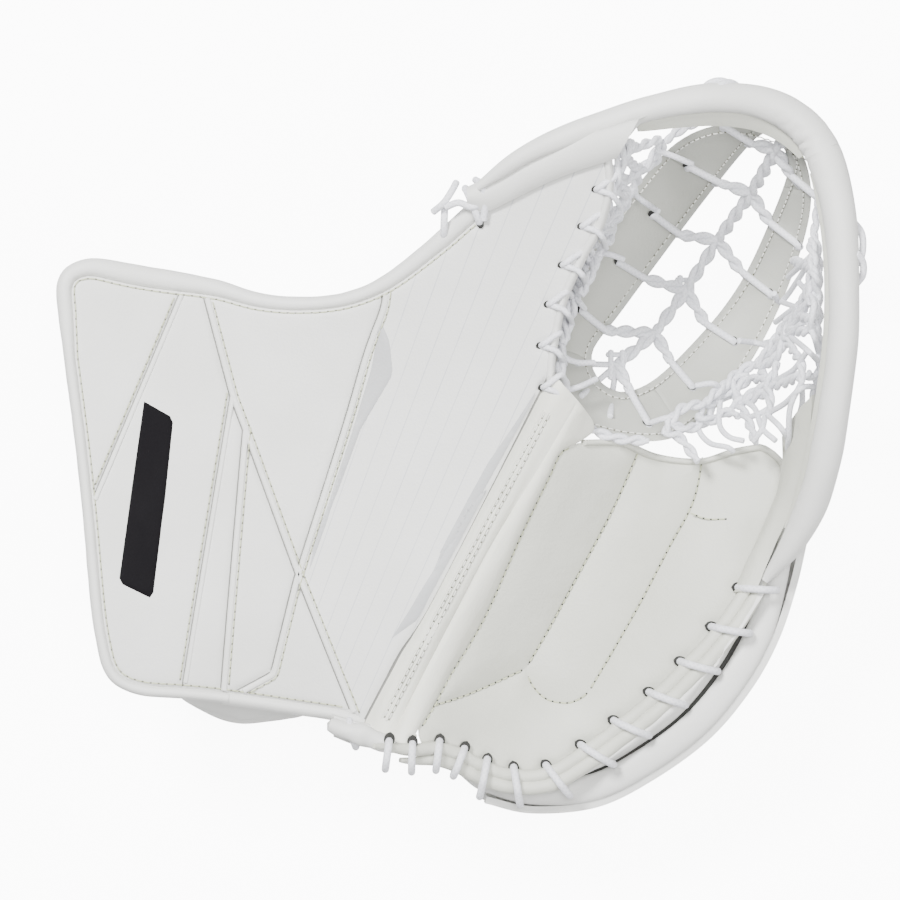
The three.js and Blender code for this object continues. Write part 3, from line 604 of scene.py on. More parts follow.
def quilt(outline, seams, surface, height, width, spacing=3.0, rows=(0.9, 2.0, 3.6), skirt=3.0, hole=None,
          wave=(26.0, 0.35), dimples=(), pucker=0.0):
    """Panels of stuffed leather, one for each region between the seams. Returns their shapes."""
    outline = np.asarray(outline, float)
    seams = [np.asarray(s, float) for s in seams]
    points, faces, creases = triangulate(outline, seams, spacing, rows, hole)
    lines = [np.vstack([outline, outline[:1]])[:, :2], *[s[:, :2] for s in seams]]
    if hole is not None:
        lines.append(np.vstack([hole, hole[:1]])[:, :2])
    d = distance(points, lines)
    z = surface(points[:, 0], points[:, 1]) - height + crown(d, height, width)
    z = z + ripple(points, *wave) * np.clip(d / width, 0, 1)
    z = z + ripple(points, 5.5, pucker) * np.exp(-d / 6.0)
    for x, y, depth, radius in dimples:
        z = z - depth * np.exp(-((points[:, 0] - x) ** 2 + (points[:, 1] - y) ** 2) / radius**2)
    panels = []
    for group in regions(faces, creases):
        used = sorted({i for f in group for i in faces[f]})
        index = {v: k for k, v in enumerate(used)}
        verts = np.column_stack([points[used], z[used]])
        local = [[index[i] for i in faces[f]] for f in group]
        shape = Shape()
        top = ensure_up(verts, local)
        border = {}
        for f in top:
            for a, b in zip(f, f[1:] + f[:1]):
                border[(a, b)] = (b, a) not in border
                if (b, a) in border:
                    border[(b, a)] = False
                    border[(a, b)] = False
        base = len(verts)
        lowered = verts - [0, 0, skirt]
        walls = [[b, a, a + base, b + base] for (a, b), edge in border.items() if edge]
        under = [[i + base for i in f[::-1]] for f in top]
        shape.add(np.vstack([verts, lowered]), top + walls + under)
        shape.top = (verts[:, :2], top)
        panels.append(shape)
    return panels


def ensure_up(verts, faces):
    out = []
    for f in faces:
        a, b, c = (verts[i] for i in f[:3])
        up = (b[0] - a[0]) * (c[1] - a[1]) - (b[1] - a[1]) * (c[0] - a[0]) > 0
        out.append(list(f) if up else list(f)[::-1])
    return out


def panel_at(panels, x, y):
    """The panel that covers a plan point."""
    best, shape = 1e9, None
    for panel in panels:
        verts, faces = panel.top
        middles = np.array([verts[f].mean(0) for f in faces])
        reach = np.min(np.linalg.norm(middles - [x, y], axis=1))
        if reach < best:
            best, shape = reach, panel
    return shape


def pillow(outline, middle, half, edge, spacing=5.0, flat=False):
    """A closed pad inside an outline, rounded at its rim. flat keeps its underside level."""
    outline = np.asarray(outline, float)[:, :2]
    points, faces, _ = triangulate(outline, [], spacing, (0.8, 2.2, 4.2))
    rim = np.vstack([outline, outline[:1]])
    d = distance(points, [rim])
    swell = crown(d, 1.0, edge) ** 0.5
    mid = middle(points[:, 0], points[:, 1])
    top = np.column_stack([points, mid + half * swell])
    low = np.column_stack([points, mid - half * (crown(d, 1.0, edge * 0.35) ** 0.5 if flat else swell)])
    shape = Shape()
    upper = ensure_up(top, faces)
    base = len(top)
    shape.add(np.vstack([top, low]), upper + [[i + base for i in f[::-1]] for f in upper])
    return shape


def sleeve(start, end, radius, wall, rings=40, sides=32):
    """A quilted finger sleeve, shut at its tip and open towards the hand."""
    start, end = np.array(start, float), np.array(end, float)
    length = np.linalg.norm(end - start)
    axis = (end - start) / length
    t = np.linspace(0, 1, rings)
    run = t * length
    tip = np.sqrt(np.clip(1 - np.clip((run - length + radius) / radius, 0, 1) ** 2, 0.0004, 1))
    quilted = 1 - 0.045 * np.abs(np.cos(np.pi * run / 12.0)) ** 6
    outer = radius * tip * quilted
    inner = np.maximum(outer - wall, 0.05)
    rows = [(run[i], outer[i]) for i in range(rings)][::-1] + [(run[i], inner[i]) for i in range(rings - 3)]
    side, lift = frames(np.array([axis]))
    angle = np.linspace(0, 2 * math.pi, sides, endpoint=False)
    around = np.cos(angle)[:, None] * side[0] + np.sin(angle)[:, None] * lift[0] * 0.92
    shape = Shape()
    shape.ring(np.array([start + axis * s + around * r for s, r in rows]))
    return shape


def twist(shape, path, radius, strands=2, reach=None, period=13.0, phase=0.0, ends=True):
    """Cords wound round each other along a path. They run together at both ends."""
    path = even(path, 1.6)
    run = np.concatenate([[0], np.cumsum(np.linalg.norm(np.diff(path, axis=0), axis=1))])
    side, lift = frames(tangents(path))
    reach = radius * 0.95 if reach is None else reach
    close = np.clip(np.minimum(run, run[-1] - run) / 3.0, 0.25, 1.0) if ends else np.ones_like(run)
    for k in range(strands):
        turn = 2 * math.pi * (run / period + k / strands) + phase
        offset = (reach * close * np.cos(turn))[:, None] * side
        offset = offset + (reach * close * np.sin(turn))[:, None] * lift * 0.75
        shape.sweep(path + offset, radius, sides=8)


def carry(obj, body):
    """Fixes an object to a body; given a zone between two bodies instead, leaves it unparented where it
    stands.
    """
    if isinstance(body, str):
        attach(obj, body)
    else:
        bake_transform(obj)


def put(obj, body, slot, *nodes):
    """An object that rides on a body and stands for its CAD nodes. Its slot, the name of a finish, is not
    used.
    """
    carry(obj, body)
    if nodes:
        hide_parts(*nodes)
    return obj


def seam_line(points, step=2.0):
    return even(np.array([(*q, 0.0) for q in points], float), step)


# ---- Plan of the glove ----
CUFF_LINE = [
    (-48, -131), (-56, -127), (-81, -123), (-115, -118), (-134, -116), (-152, -114.5), (-164, -110),
    (-170.5, -102), (-174, -88), (-176.5, -70), (-180, -30), (-184, 8), (-189.5, 51), (-192.5, 75),
    (-192, 85),
    (-187, 92), (-176, 95.5), (-158, 93), (-119, 86), (-96, 79), (-76, 77), (-55, 79), (-36, 87), (-14, 104),
    (5, 121),
]
THUMB_LINE = [(12, 118), (16, 119.5), (30, 127), (50, 135), (69, 142)]
POCKET_LINE = [(70, 141), (71, 128), (67, 111), (58, 94), (50, 76), (46, 58), (44, 42)]
FACE_BREAK = [(44, 42), (24, 2), (1, -43), (-17, -77), (-28, -93), (-36, -108), (-48, -131)]
FOLD_LINE = [(52, 18), (38, -6), (16, -42), (-2, -76), (-14, -99), (-31, -132)]
PALM_SEAM = [(58, 7), (49, 3), (43, -9), (31, -34), (24, -50), (14, -73), (6, -88), (-4, -104), (-12, -119),
             (-20, -132)]
SEAM_A = [(-132, 84), (-184, -40)]
SEAM_B = [(-124, 82), (-110, 29), (-104, 13), (-78, -58), (-46, -138)]
SEAM_C = [(-35.5, 92), (-37, 74), (-42, 60), (-46.5, 47), (-56.5, 13), (-79.5, -59)]
SEAM_C_LOW = [(-79.5, -59), (-90.5, -103.5), (-115.5, -117), (-120, -119.5)]
SEAM_D = [(-109.6, 31.4), (-135, -122)]
SEAM_E = [(-103.8, 15.4), (-115.7, -124)]
PANEL_SKIN = (1.3, 3.6)          # crown of a cuff panel and its reach from the seams
PALM_SKIN = (4.0, 15.0)          # crown of a palm panel and its reach from the seams


def cuff_width(path):
    """Width of the bound edge that shows from above: narrow at the cuff's end, broad on its shoulder."""
    x, y = path[:, 0], path[:, 1]
    shoulder = np.exp(-((x + 150) / 38) ** 2) * (y > 60)
    thumb = np.clip((x + 50) / 50, 0, 1) * (y > 60)
    return 5.2 + 3.6 * shoulder + 2.2 * thumb + 1.0 * (y > 60)


def cuff_line():
    return even(spline(CUFF_LINE, 2.0), 2.5)


def smooth_width(path):
    w = cuff_width(path)
    kernel = np.ones(9) / 9
    return np.convolve(np.pad(w, 4, mode="edge"), kernel, mode="valid")


def body_outline():
    line = cuff_line()
    inner = line.copy()
    t = tangents(line)
    w = smooth_width(line)
    inner[:, 0] += t[:, 1] * w
    inner[:, 1] -= t[:, 0] * w
    thumb, pocket, edge = spline(THUMB_LINE), spline(POCKET_LINE), spline(FACE_BREAK)
    return np.vstack([inner[1:], thumb[1:], pocket[1:], edge[1:-1]])[:, :2]


def cuff_and_thumb():
    """The quilted skins of the cuff and the thumb, side by side."""
    outline = body_outline()
    seams = [seam_line(s)[:, :2] for s in (SEAM_A, SEAM_B, SEAM_C_LOW, SEAM_D, SEAM_E)]
    seams.append(spline(SEAM_C)[:, :2])
    holes = [(x, y, 1.2, 3.0) for x, y in (*THUMB_HOLES, *TIP_HOLES)]
    panels = quilt(outline, seams, face_z, *PANEL_SKIN, spacing=4.0, rows=(0.7, 1.6, 2.6, 3.7), dimples=holes,
                   pucker=0.12)
    places = {
        "cuff_panel_corner": (-172, 40), "cuff_panel_emblem": (-140, 10), "cuff_panel_strip": (-117, -60),
        "cuff_panel_inlay": (-75, 40), "cuff_panel_centre": (-95, -60), "cuff_panel_heel": (-72, -100),
        "thumb_face_panel": (0, 40),
    }
    for name, (x, y) in places.items():
        panel = panel_at(panels, x, y)
        thumb = name == "thumb_face_panel"
        obj = panel.object(name + "_skin", STRIPED if thumb else WHITE)
        put(obj, ROOT, "leather_white", name)
    welts(outline)


def beside(line, distance, surface, rise):
    """A line moved to the right of a seam and laid on a surface."""
    moved = sideways(line, distance)
    return on(moved[:, :2], surface, rise)


def groove(d, height, width):
    return crown(np.abs(d), height, width) - height


def welts(outline):
    """Folded leather strips, thin dark strips of painted shade in the seam grooves, and stitches along the
    seams of the cuff.
    """
    strips, creases, sewing = Shape(), Shape(), Sewing()
    height, width = PANEL_SKIN

    def inner(line, margin):
        keep = inside(line[:, :2], outline)
        close = distance(line, [np.vstack([outline, outline[:1]])]) < margin
        keep &= ~close
        return line[keep]

    def stitch(line, offset):
        path = inner(beside(line, offset, face_z, groove(offset, height, width) + 0.12), 1.0)
        sewing.run(path, surface_normals(path, face_z))

    def strip(line, middle, half, rise=0.35):
        path = inner(beside(line, middle, face_z, rise - height * 0.55), 0.8)
        strips.sweep(path, half, 0.95, sides=14, up=(0, 0, 1), power=0.8)

    # Painted shade: a thin dark strip laid in the groove of a seam.
    def crease(line, offset=0.0):
        path = inner(beside(line, offset, face_z, -height + 0.1), 0.6)
        creases.sweep(path, 0.34, 0.3, sides=6, up=(0, 0, 1))

    down = {name: seam_line(line) for name, line in (
        ("A", SEAM_A), ("B", SEAM_B), ("C_LOW", SEAM_C_LOW), ("D", SEAM_D), ("E", SEAM_E))}
    down["C"] = spline(SEAM_C)
    for name in ("B", "C", "C_LOW", "E"):
        crease(down[name])
        strip(down[name], -1.75, 1.45)
        stitch(down[name], -3.9)
    for name in ("A", "D"):
        crease(down[name], 0.1)
        strip(down[name], -1.3, 1.2, 0.25)
        stitch(down[name], 1.5)
    line = cuff_line()
    rim = line.copy()
    t, w = tangents(line), smooth_width(line) + 1.3
    rim[:, 0] += t[:, 1] * w
    rim[:, 1] -= t[:, 0] * w
    path = on(rim[4:-2, :2], face_z, groove(1.3, height, width) + 0.1)
    sewing.run(path, surface_normals(path, face_z))
    put(strips.object("cuff_welts", WHITE), ROOT, "leather_white")
    put(creases.object("cuff_crease_shadows", CREASE_SHADE), ROOT, "leather_white")
    for obj in sewing.objects("cuff_stitches", ROOT):
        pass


def cuff_edge():
    """The bound edge of the cuff: a folded band of leather round the board."""
    line = cuff_line()
    w = smooth_width(line)
    centre = line.copy()
    t = tangents(line)
    centre[:, 0] += t[:, 1] * w / 2
    centre[:, 1] -= t[:, 0] * w / 2
    low = np.clip((-centre[:, 1] - 96) / 10, 0, 1) * np.clip((centre[:, 0] + 130) / 30, 0, 1)
    path = on(centre[:, :2], face_z, -5.4)
    cut = np.argmax(low < 0.5)

    def wrinkle(run, angle):
        soft = np.array([[noise.noise(Vector((r / 9, 2.2, 0))) for r in run[:, 0]]]).T
        return 0.18 * soft + 0 * angle

    band = Shape()
    band.sweep(path[cut - 2:], w[cut - 2:] / 2 + 0.5, 6.3, sides=24, up=(0, 0, 1), power=0.85, bumps=wrinkle)
    put(band.object("cuff_binding_leather", WHITE), ROOT, "leather_white", "cuff_binding")
    roll = Shape()
    roll.sweep(path[:cut], w[:cut] / 2 + 1.2, 5.6, sides=24, up=(0, 0, 1), bumps=wrinkle)
    put(roll.object("heel_roll_leather", WHITE), ROOT, "leather_white", "heel_roll")


# ---- Flat leather pieces sewn on the face ----
def patch(outline, material, name, slot, node, rise=0.15, thickness=0.7):
    """A thin piece with a soft rim, laid on the face of the cuff and thumb."""
    shape = pillow(even(np.vstack([outline, outline[:1]]), 3.0)[:-1], lambda x, y: face_z(x, y) + rise,
                   thickness / 2, 0.8, 4.0)
    return put(shape.object(name, material), ROOT, slot, *([node] if node else []))


def appliques():
    """The grey pieces and the black patch, sewn flat on the skins."""
    patch([(-37.5, 66), (-33, 56), (-31.5, 40), (-47, 14), (-72, -55), (-69, -40), (-52.5, 8), (-42, 42)],
        GREY,
          "thumb_wedge_leather", "grey_accent", "thumb_wedge", 0.05)
    patch([(-32, -87), (-20, -78.5), (-8, -56), (5, -32), (14, -15), (4, -23), (-8, -48), (-18, -64)], GREY,
          "thumb_accent_leather", "grey_accent", "thumb_accent", 0.05)
    patch([(-9, -46), (2, -25), (14, -3), (27, 16), (38, 33), (34, 24), (12, -16), (-3, -43)], GREY,
          "thumb_accent_upper", "grey_accent", None, 0.05)
    patch([(-15, -62), (-6, -40), (1, -27), (-1, -35), (-12, -58)], GREY, "thumb_accent_slim", "grey_accent",
          None, 0.04)
    patch([(-151, 27), (-137, 19), (-141, -20), (-147, -68), (-163, -60), (-157, -16)], BADGE,
          "cuff_badge_leather", "badge_black", "cuff_badge", 0.2, 0.9)


# ---- Core and lining under the face ----
def core():
    """The stiff board under the cuff and thumb, and the lining under the board."""
    outline = body_outline()
    thickness = BOARD / 2
    middle = -SKIN - 0.4 - thickness
    board = pillow(outline[::2], lambda x, y: face_z(x, y) + middle, thickness, 3.0, 9.0)
    put(closed(board.object("cuff_board_core", CORE)), ROOT, "board_core", "cuff_board")
    liner_edge = [
        (-150, -98), (-162, -60), (-170, 10), (-176, 70), (-166, 78), (-118, 68), (-76, 60), (-44, 64),
        (-10, 92), (14, 104), (42, 118), (36, 88), (26, 56), (14, 18), (-4, -16), (-22, -52), (-40, -86),
        (-58, -108), (-110, -102), (-150, -98),
    ]
    drop = -SKIN - BOARD - 0.8 - 2.2
    liner = pillow(even(spline(liner_edge), 5.0)[:-1], lambda x, y: face_z(x, y) + drop, 2.2, 9.0, 7.0)
    put(closed(liner.object("cuff_liner_fabric", LINING)), ROOT, "lining_fabric", "cuff_liner")


# ---- Rim of the pocket ----
BEAD = [
    (9, 128, 137), (27, 140.5, 144), (44.5, 149, 149), (85, 162.5, 155), (111.5, 168.5, 155),
    (136.5, 169, 150),
    (156.5, 162, 146), (169.5, 149, 145), (177, 127, 147), (181, 98, 149), (181.5, 60, 148), (178, 26, 142),
    (173.5, -4, 130), (167, -28, 116), (157, -47, 105), (148, -59, 98),
]
BEAD_RADIUS = [
    (0, 1.5), (0.03, 3.6), (0.1, 5.2), (0.22, 6.0), (0.34, 7.2), (0.43, 8.8), (0.5, 8.4), (0.6, 7.2),
    (0.72, 7.2), (0.82, 7.8), (0.9, 7.6), (0.96, 5.2), (1.0, 1.6),
]
EASE = 13             # points on either side that ease a bend of the rim
CORNER_AT, CORNER_REACH = 0.425, 0.04   # place of the wrinkled corner along the rim
RIM_THUMB = (ROOT, SPINE, (100, 163, 155), (140, 168, 148))
RIM_FINGER = (SPINE, PALM, (168, 150, 146), (180, 112, 148))


def bead_path():
    """The rim's middle line with its bends eased, how far along each point is, and its radii."""
    line = spline(BEAD, 1.5)
    kernel = np.hanning(2 * EASE + 1) / np.hanning(2 * EASE + 1).sum()
    longer = [np.pad(line[:, k], EASE, mode="reflect", reflect_type="odd") for k in range(3)]
    path = np.column_stack([np.convolve(run, kernel, "valid") for run in longer])
    share = np.linspace(0, 1, len(path))
    at, radius = np.array(BEAD_RADIUS).T
    return path, share, np.interp(share, at, radius)


def bead():
    """The stuffed rim of the pocket, in lengths that part where the glove folds."""
    path, share, radius = bead_path()
    kernel = np.ones(15) / 15
    radius = np.convolve(np.pad(radius, 7, mode="edge"), kernel, mode="valid")
    length = len(path) * 1.5

    def piece(name, body, first, last, *nodes):
        keep = (share >= first) & (share <= last)
        start = first * length

        def wrinkle(run, angle):
            where = (run + start) / length
            corner = np.exp(-((where - CORNER_AT) / CORNER_REACH) ** 2)
            folds = np.zeros((run.shape[0], angle.shape[1]))
            for i, r in enumerate(run[:, 0]):
                for k, a in enumerate(angle[0]):
                    soft = noise.noise(Vector(((r + start) / 22, math.cos(a) * 0.8, math.sin(a) * 0.8)))
                    fold = noise.noise(Vector(((r + start) / 2.1, math.cos(a) * 1.6, math.sin(a) * 1.6)))
                    inner = max(0.15, math.cos(a - 0.5))
                    folds[i, k] = 0.45 * soft + 1.3 * fold * corner[i, 0] * inner
            return folds

        shape = Shape()
        shape.sweep(path[keep], radius[keep], sides=36, up=(0, 0, 1), bumps=wrinkle, cap=0.0)
        put(shape.object(name, WHITE), body, "leather_white", *nodes)

    piece("bead_thumb_leather", RIM_THUMB, 0, 0.4559, "bead_thumb_side")
    piece("bead_finger_leather", RIM_FINGER, 0.4515, 1, "bead_corner", "bead_finger_side")
    bead_seam(path, radius, share)


def bead_seam(path, radius, share):
    """A sewn lip along the inner side of the rim, where the nets are laced to it."""
    side, lift = frames(tangents(path), up=(0, 0, 1))

    def lip(name, body, first, last, width):
        keep = (share >= first) & (share <= last)
        base = path[keep] + side[keep] * (radius[keep] * 0.72)[:,
            None] - lift[keep] * (radius[keep] * 0.5)[:, None]
        fade = np.sin(np.linspace(0.12, math.pi - 0.12, keep.sum())) ** 0.4
        rows = np.stack([
            base + side[keep] * (width * fade * s)[:,
            None] - lift[keep] * (width * fade * (0.35 * s + 0.5 * s * s))[:, None]
            for s in np.linspace(0, 1, 7)
        ], axis=1)
        shape = Shape()
        shape.shell(rows, 2.0)
        put(shape.object(name, PALM_WHITE), body, "leather_palm")
        sewing = Sewing(2.4, 3.6)
        line = rows[:, 5] + [0, 0, 0.15]
        normals = np.cross(np.gradient(rows[:, 5], axis=0), rows[:, 6] - rows[:, 4])
        normals *= np.sign(normals[:, 2:3])
        normals /= np.linalg.norm(normals, axis=1, keepdims=True)
        sewing.run(line, normals)
        sewing.objects(name + "_stitches", body)

    lip("bead_lip_thumb", RIM_THUMB, 0.2, 0.45, 6.5)
    lip("bead_lip_finger", RIM_FINGER, 0.47, 0.93, 2.6)


def thumb_flap():
    """The folded leather tape between the thumb's face and the rim."""
    low = resample(spline([(4, 122), (12, 119), (20, 122), (32, 128), (50, 135.5), (74, 143)]), 40)
    high = resample(spline([(6, 127), (14, 133), (27, 139.5), (44, 147), (60, 153), (88, 160)]), 40)
    rows = []
    for s in np.linspace(0, 1, 13):
        p = low * (1 - s) + high * s
        z = face_z(p[:, 0], p[:, 1]) + 0.2 + 3.2 * math.sin(math.pi * min(1, s * 1.15)) ** 0.7
        z += 0.5 * np.array([noise.noise(Vector((x / 16, s * 2.0, 4.0))) for x in p[:, 0]])
        rows.append(np.column_stack([p[:, :2], z]))
    shape = Shape()
    shape.shell(np.stack(rows, axis=1)[:, ::-1], 3.0)
    put(shape.object("thumb_flap", WHITE), ROOT, "leather_white")


def resample(path, count):
    """The same line with a given number of points."""
    p = np.asarray(path, float)
    run = np.concatenate([[0], np.cumsum(np.linalg.norm(np.diff(p, axis=0), axis=1))])
    at = np.linspace(0, run[-1], count)
    return np.stack([np.interp(at, run, p[:, k]) for k in range(p.shape[1])], axis=1)


# ---- Spine ----
SPINE_OUTER = [
    (60, 14), (50, 26), (46, 40), (46, 56), (49, 73), (66, 104), (86, 131), (104, 151), (124, 159),
    (146, 156),
    (163, 146), (170, 122), (164, 90), (150, 57), (131, 29), (112, 13), (98, 8), (80, 9), (60, 14),
]
SPINE_SLOT = [
    (70, 37), (66, 44), (67, 54), (80, 71), (100, 98), (120, 125), (138, 148), (147, 155), (156, 147),
    (158, 134), (146, 99), (133, 76), (114, 54), (97, 38.5), (84, 32.5), (76, 33), (70, 37),
]


def spine():
    """The leather ring at the bottom of the pocket, with its slot and its stitches."""
    outer = even(spline(SPINE_OUTER), 3.0)[:-1, :2]
    slot = even(spline(SPINE_SLOT), 3.0)[:-1, :2]
    cuts = [[(20, 62), (60, 50), (84, 30)], [(86, 36), (97, 34), (122, -6)],
        [(60, 168), (126, 132), (144, 146)],
            [(150, 146), (158, 130), (200, 122)]]
    panels = quilt(outer, [seam_line(c)[:, :2] for c in cuts], lambda x, y: spine_z(x, y) + 2.0, 0.9, 3.0,
                   spacing=4.0, rows=(0.8, 1.9, 3.2), skirt=3.4, hole=slot, wave=(30.0, 0.9), pucker=0.1)
    for name, (x, y) in {"spine_base": (80, 20), "spine_band_thumb": (78, 92), "spine_band_finger": (140, 60),
                         "spine_top": (130, 155)}.items():
        put(panel_at(panels, x, y).object(name + "_leather", SPINE_SHADED), SPINE, "leather_palm", name)
    sewing = Sewing(2.2, 3.6)
    for line, step in ((outer, 3.4), (slot, -3.4)):
        closed = np.column_stack([np.vstack([line, line[:1]]), np.zeros(len(line) + 1)])
        path = beside(closed, step, spine_z, 2.15)
        sewing.run(path, surface_normals(path, spine_z))
    for obj in sewing.objects("spine_stitches", SPINE, THREAD_WHITE):
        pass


# ---- Lace holes ----
def eyelets(name, body, places, radius=2.3):
    """Oval holes in the leather, drawn as near-black discs of painted shade. A place is a point, a normal and
    the way the lace leaves.
    """
    shape = Shape()
    for point, normal, leave in places:
        n = np.array(normal, float) / np.linalg.norm(normal)
        d = np.array(leave, float) - n * np.dot(leave, n)
        d /= np.linalg.norm(d)
        centre = np.array(point, float) - d * radius * 0.35
        path = np.array([centre - d * radius, centre, centre + d * radius])
        path = resample(path, 9)
        s = np.linspace(-1, 1, 9)
        half = np.sqrt(np.clip(1 - s**2, 0.02, 1)) * radius * 0.78
        shape.sweep(path, half, 0.35 * half / radius + 0.05, sides=12, up=n)
    return put(shape.object(name, DARK), body, "lace_cord")


THUMB_HOLES = [(65, 127), (58.5, 110), (49.5, 92), (43, 73.5), (39.5, 54), (40.5, 34)]
TIP_HOLES = [(-7, 106), (10, 112)]
BAND_HOLES_LEFT = [(60, 72), (79, 96), (96, 119), (112, 141)]
BAND_HOLES_RIGHT = [(93, 16.5), (115.5, 34.5), (136.5, 57), (154, 80), (166, 103), (173, 124)]


# ---- Nets ----
THUMB_NET_TOP = [(74, 144, 148), (72, 122, 136), (64, 94, 122), (54, 66, 112), (50, 42, 106)]
THUMB_NET_LOW = [(98, 144), (84, 124), (68, 102), (54, 76), (52, 50)]
FINGER_NET_TOP = [(165, 121, 134), (168, 90, 138), (167, 56, 137), (158, 20, 126), (147, 2, 112)]
FINGER_NET_LOW = [(166, 112), (158, 78), (144, 48), (126, 24), (114, 10)]
NET_RISE = 5.0


def between_lines(x, y, low, high):
    """Height between two edge lines, by how near each one is."""
    p = np.array([x, y])
    out = []
    for line in (low, high):
        reach = np.linalg.norm(line[:, :2] - p, axis=1)
        k = int(np.argmin(reach))
        out.append((reach[k], line[k, 2]))
    (a, za), (b, zb) = out
    return za + (zb - za) * a / max(a + b, 1e-6)


def cords_on(shape, low, high, cords, radius=WEB):
    """Cords of a net. Each has a number of strands, a lift and its points in plan."""
    for strands, rise, points in cords:
        path = np.array([(x, y, between_lines(x, y, low, high) + rise) for x, y in points])
        if strands == 1:
            path[-1, 2] -= 5.0
        path = spline(path, 2.0)
        if strands == 1:
            shape.sweep(path, radius, sides=10)
        else:
            twist(shape, path, radius, strands, radius * (0.98 if strands == 2 else 1.45),
                  17.0 if strands == 2 else 22.0)


def thumb_net():
    """The cords and twisted pairs between the thumb, the rim and the spine."""
    low = on(spline(THUMB_NET_LOW)[:, :2], spine_z, NET_RISE)
    high = spline(THUMB_NET_TOP)
    shape = Shape()
    bundle = [(82, 150), (78, 143), (75, 135), (71, 123), (67, 109), (62, 98), (58.5, 86), (55, 74),
        (52.5, 65),
              (50, 55), (49, 44), (52, 32), (54, 22), (60, 14)]
    second = [(98, 152), (94, 145), (88, 138), (85, 130), (80, 121), (74, 110), (68, 99), (64, 89), (59, 78)]
    cords = [
        (3, 7.0, bundle[:10]), (2, 4.0, bundle[8:]), (2, 0.0, second),
        (2, 1.5, [(78, 144), (84, 140), (90, 139)]), (2, 1.0, [(78, 145), (87, 149), (97, 153)]),
        (2, 1.0, [(72, 125), (79, 132), (88, 139)]), (2, 1.0, [(67, 110), (75, 118), (84, 129)]),
        (2, 0.5, [(69, 114), (74, 110), (73, 104)]), (1, 0.5, [(84, 130), (88, 126), (97, 119)]),
        (1, 0.5, [(95, 148), (104, 145), (113, 141)]), (1, 0.0, [(69, 99), (74, 98), (80, 96)]),
        (1, 0.0, [(56, 79), (58, 75), (61, 72)]), (1, 0.5, [(50, 52), (52, 48), (58, 46), (66, 46)]),
        (2, 4.0, [(76, 137), (80, 128), (77, 118), (71, 108)]), (1, 6.0, [(70, 122), (76, 126), (83, 124)]),
        (1, 5.0, [(64, 104), (69, 108), (76, 112)]), (1, 5.0, [(60, 90), (64, 95), (72, 102)]),
        (2, 0.5, [(90, 139), (95, 143), (99, 152)]), (2, 1.0, [(100, 152), (106, 157), (114, 160)]),
        (1, 1.0, [(50, 32), (58, 34), (67, 38)]), (2, 0.0, [(56, 20), (66, 13), (78, 9), (92, 8)]),
    ]
    cords_on(shape, low, high, cords)
    for i, (x, y) in enumerate(THUMB_HOLES):
        z = face_z(x, y)
        target = bundle[[2, 4, 5, 7, 9, 11][i]]
        tz = between_lines(*target, low, high)
        shape.sweep(spline([(x - 0.5, y - 0.6, z - 2.2), (x + 1.2, y + 0.2, z + 1.9),
            (x + 5, y + 3.0, z + 2.3),
                            (x + 9, y + 5.5, z + 1.2), (target[0], target[1] + 3, tz + 5.0)], 1.5), WEB,
                            sides=10)
        shape.sweep(spline([(x + 0.6, y - 0.8, z - 2.2), (x + 3, y - 1.5, z + 1.7), (x + 7, y - 3, z + 1.6),
                            (x + 10, y - 6, z - 2.0), (x + 12, y - 9, tz - 1)], 1.5), WEB, sides=10)
    put(shape.object("thumb_net_cords", CORD), (ROOT, SPINE, (64, 108, 110), (78, 98, 80)), "lace_cord",
        "thumb_net")
    put_eyelets("thumb_net_holes", ROOT, THUMB_HOLES, face_z, (1, 0.6, 0))


def put_eyelets(name, body, holes, surface, leave, rise=0.05, radius=2.0):
    places = []
    for x, y in holes:
        line = np.array([[x, y, 0.0]])
        n = surface_normals(line, surface)[0]
        places.append(((x, y, surface(x, y) + rise), n, leave))
    eyelets(name, body, places, radius)


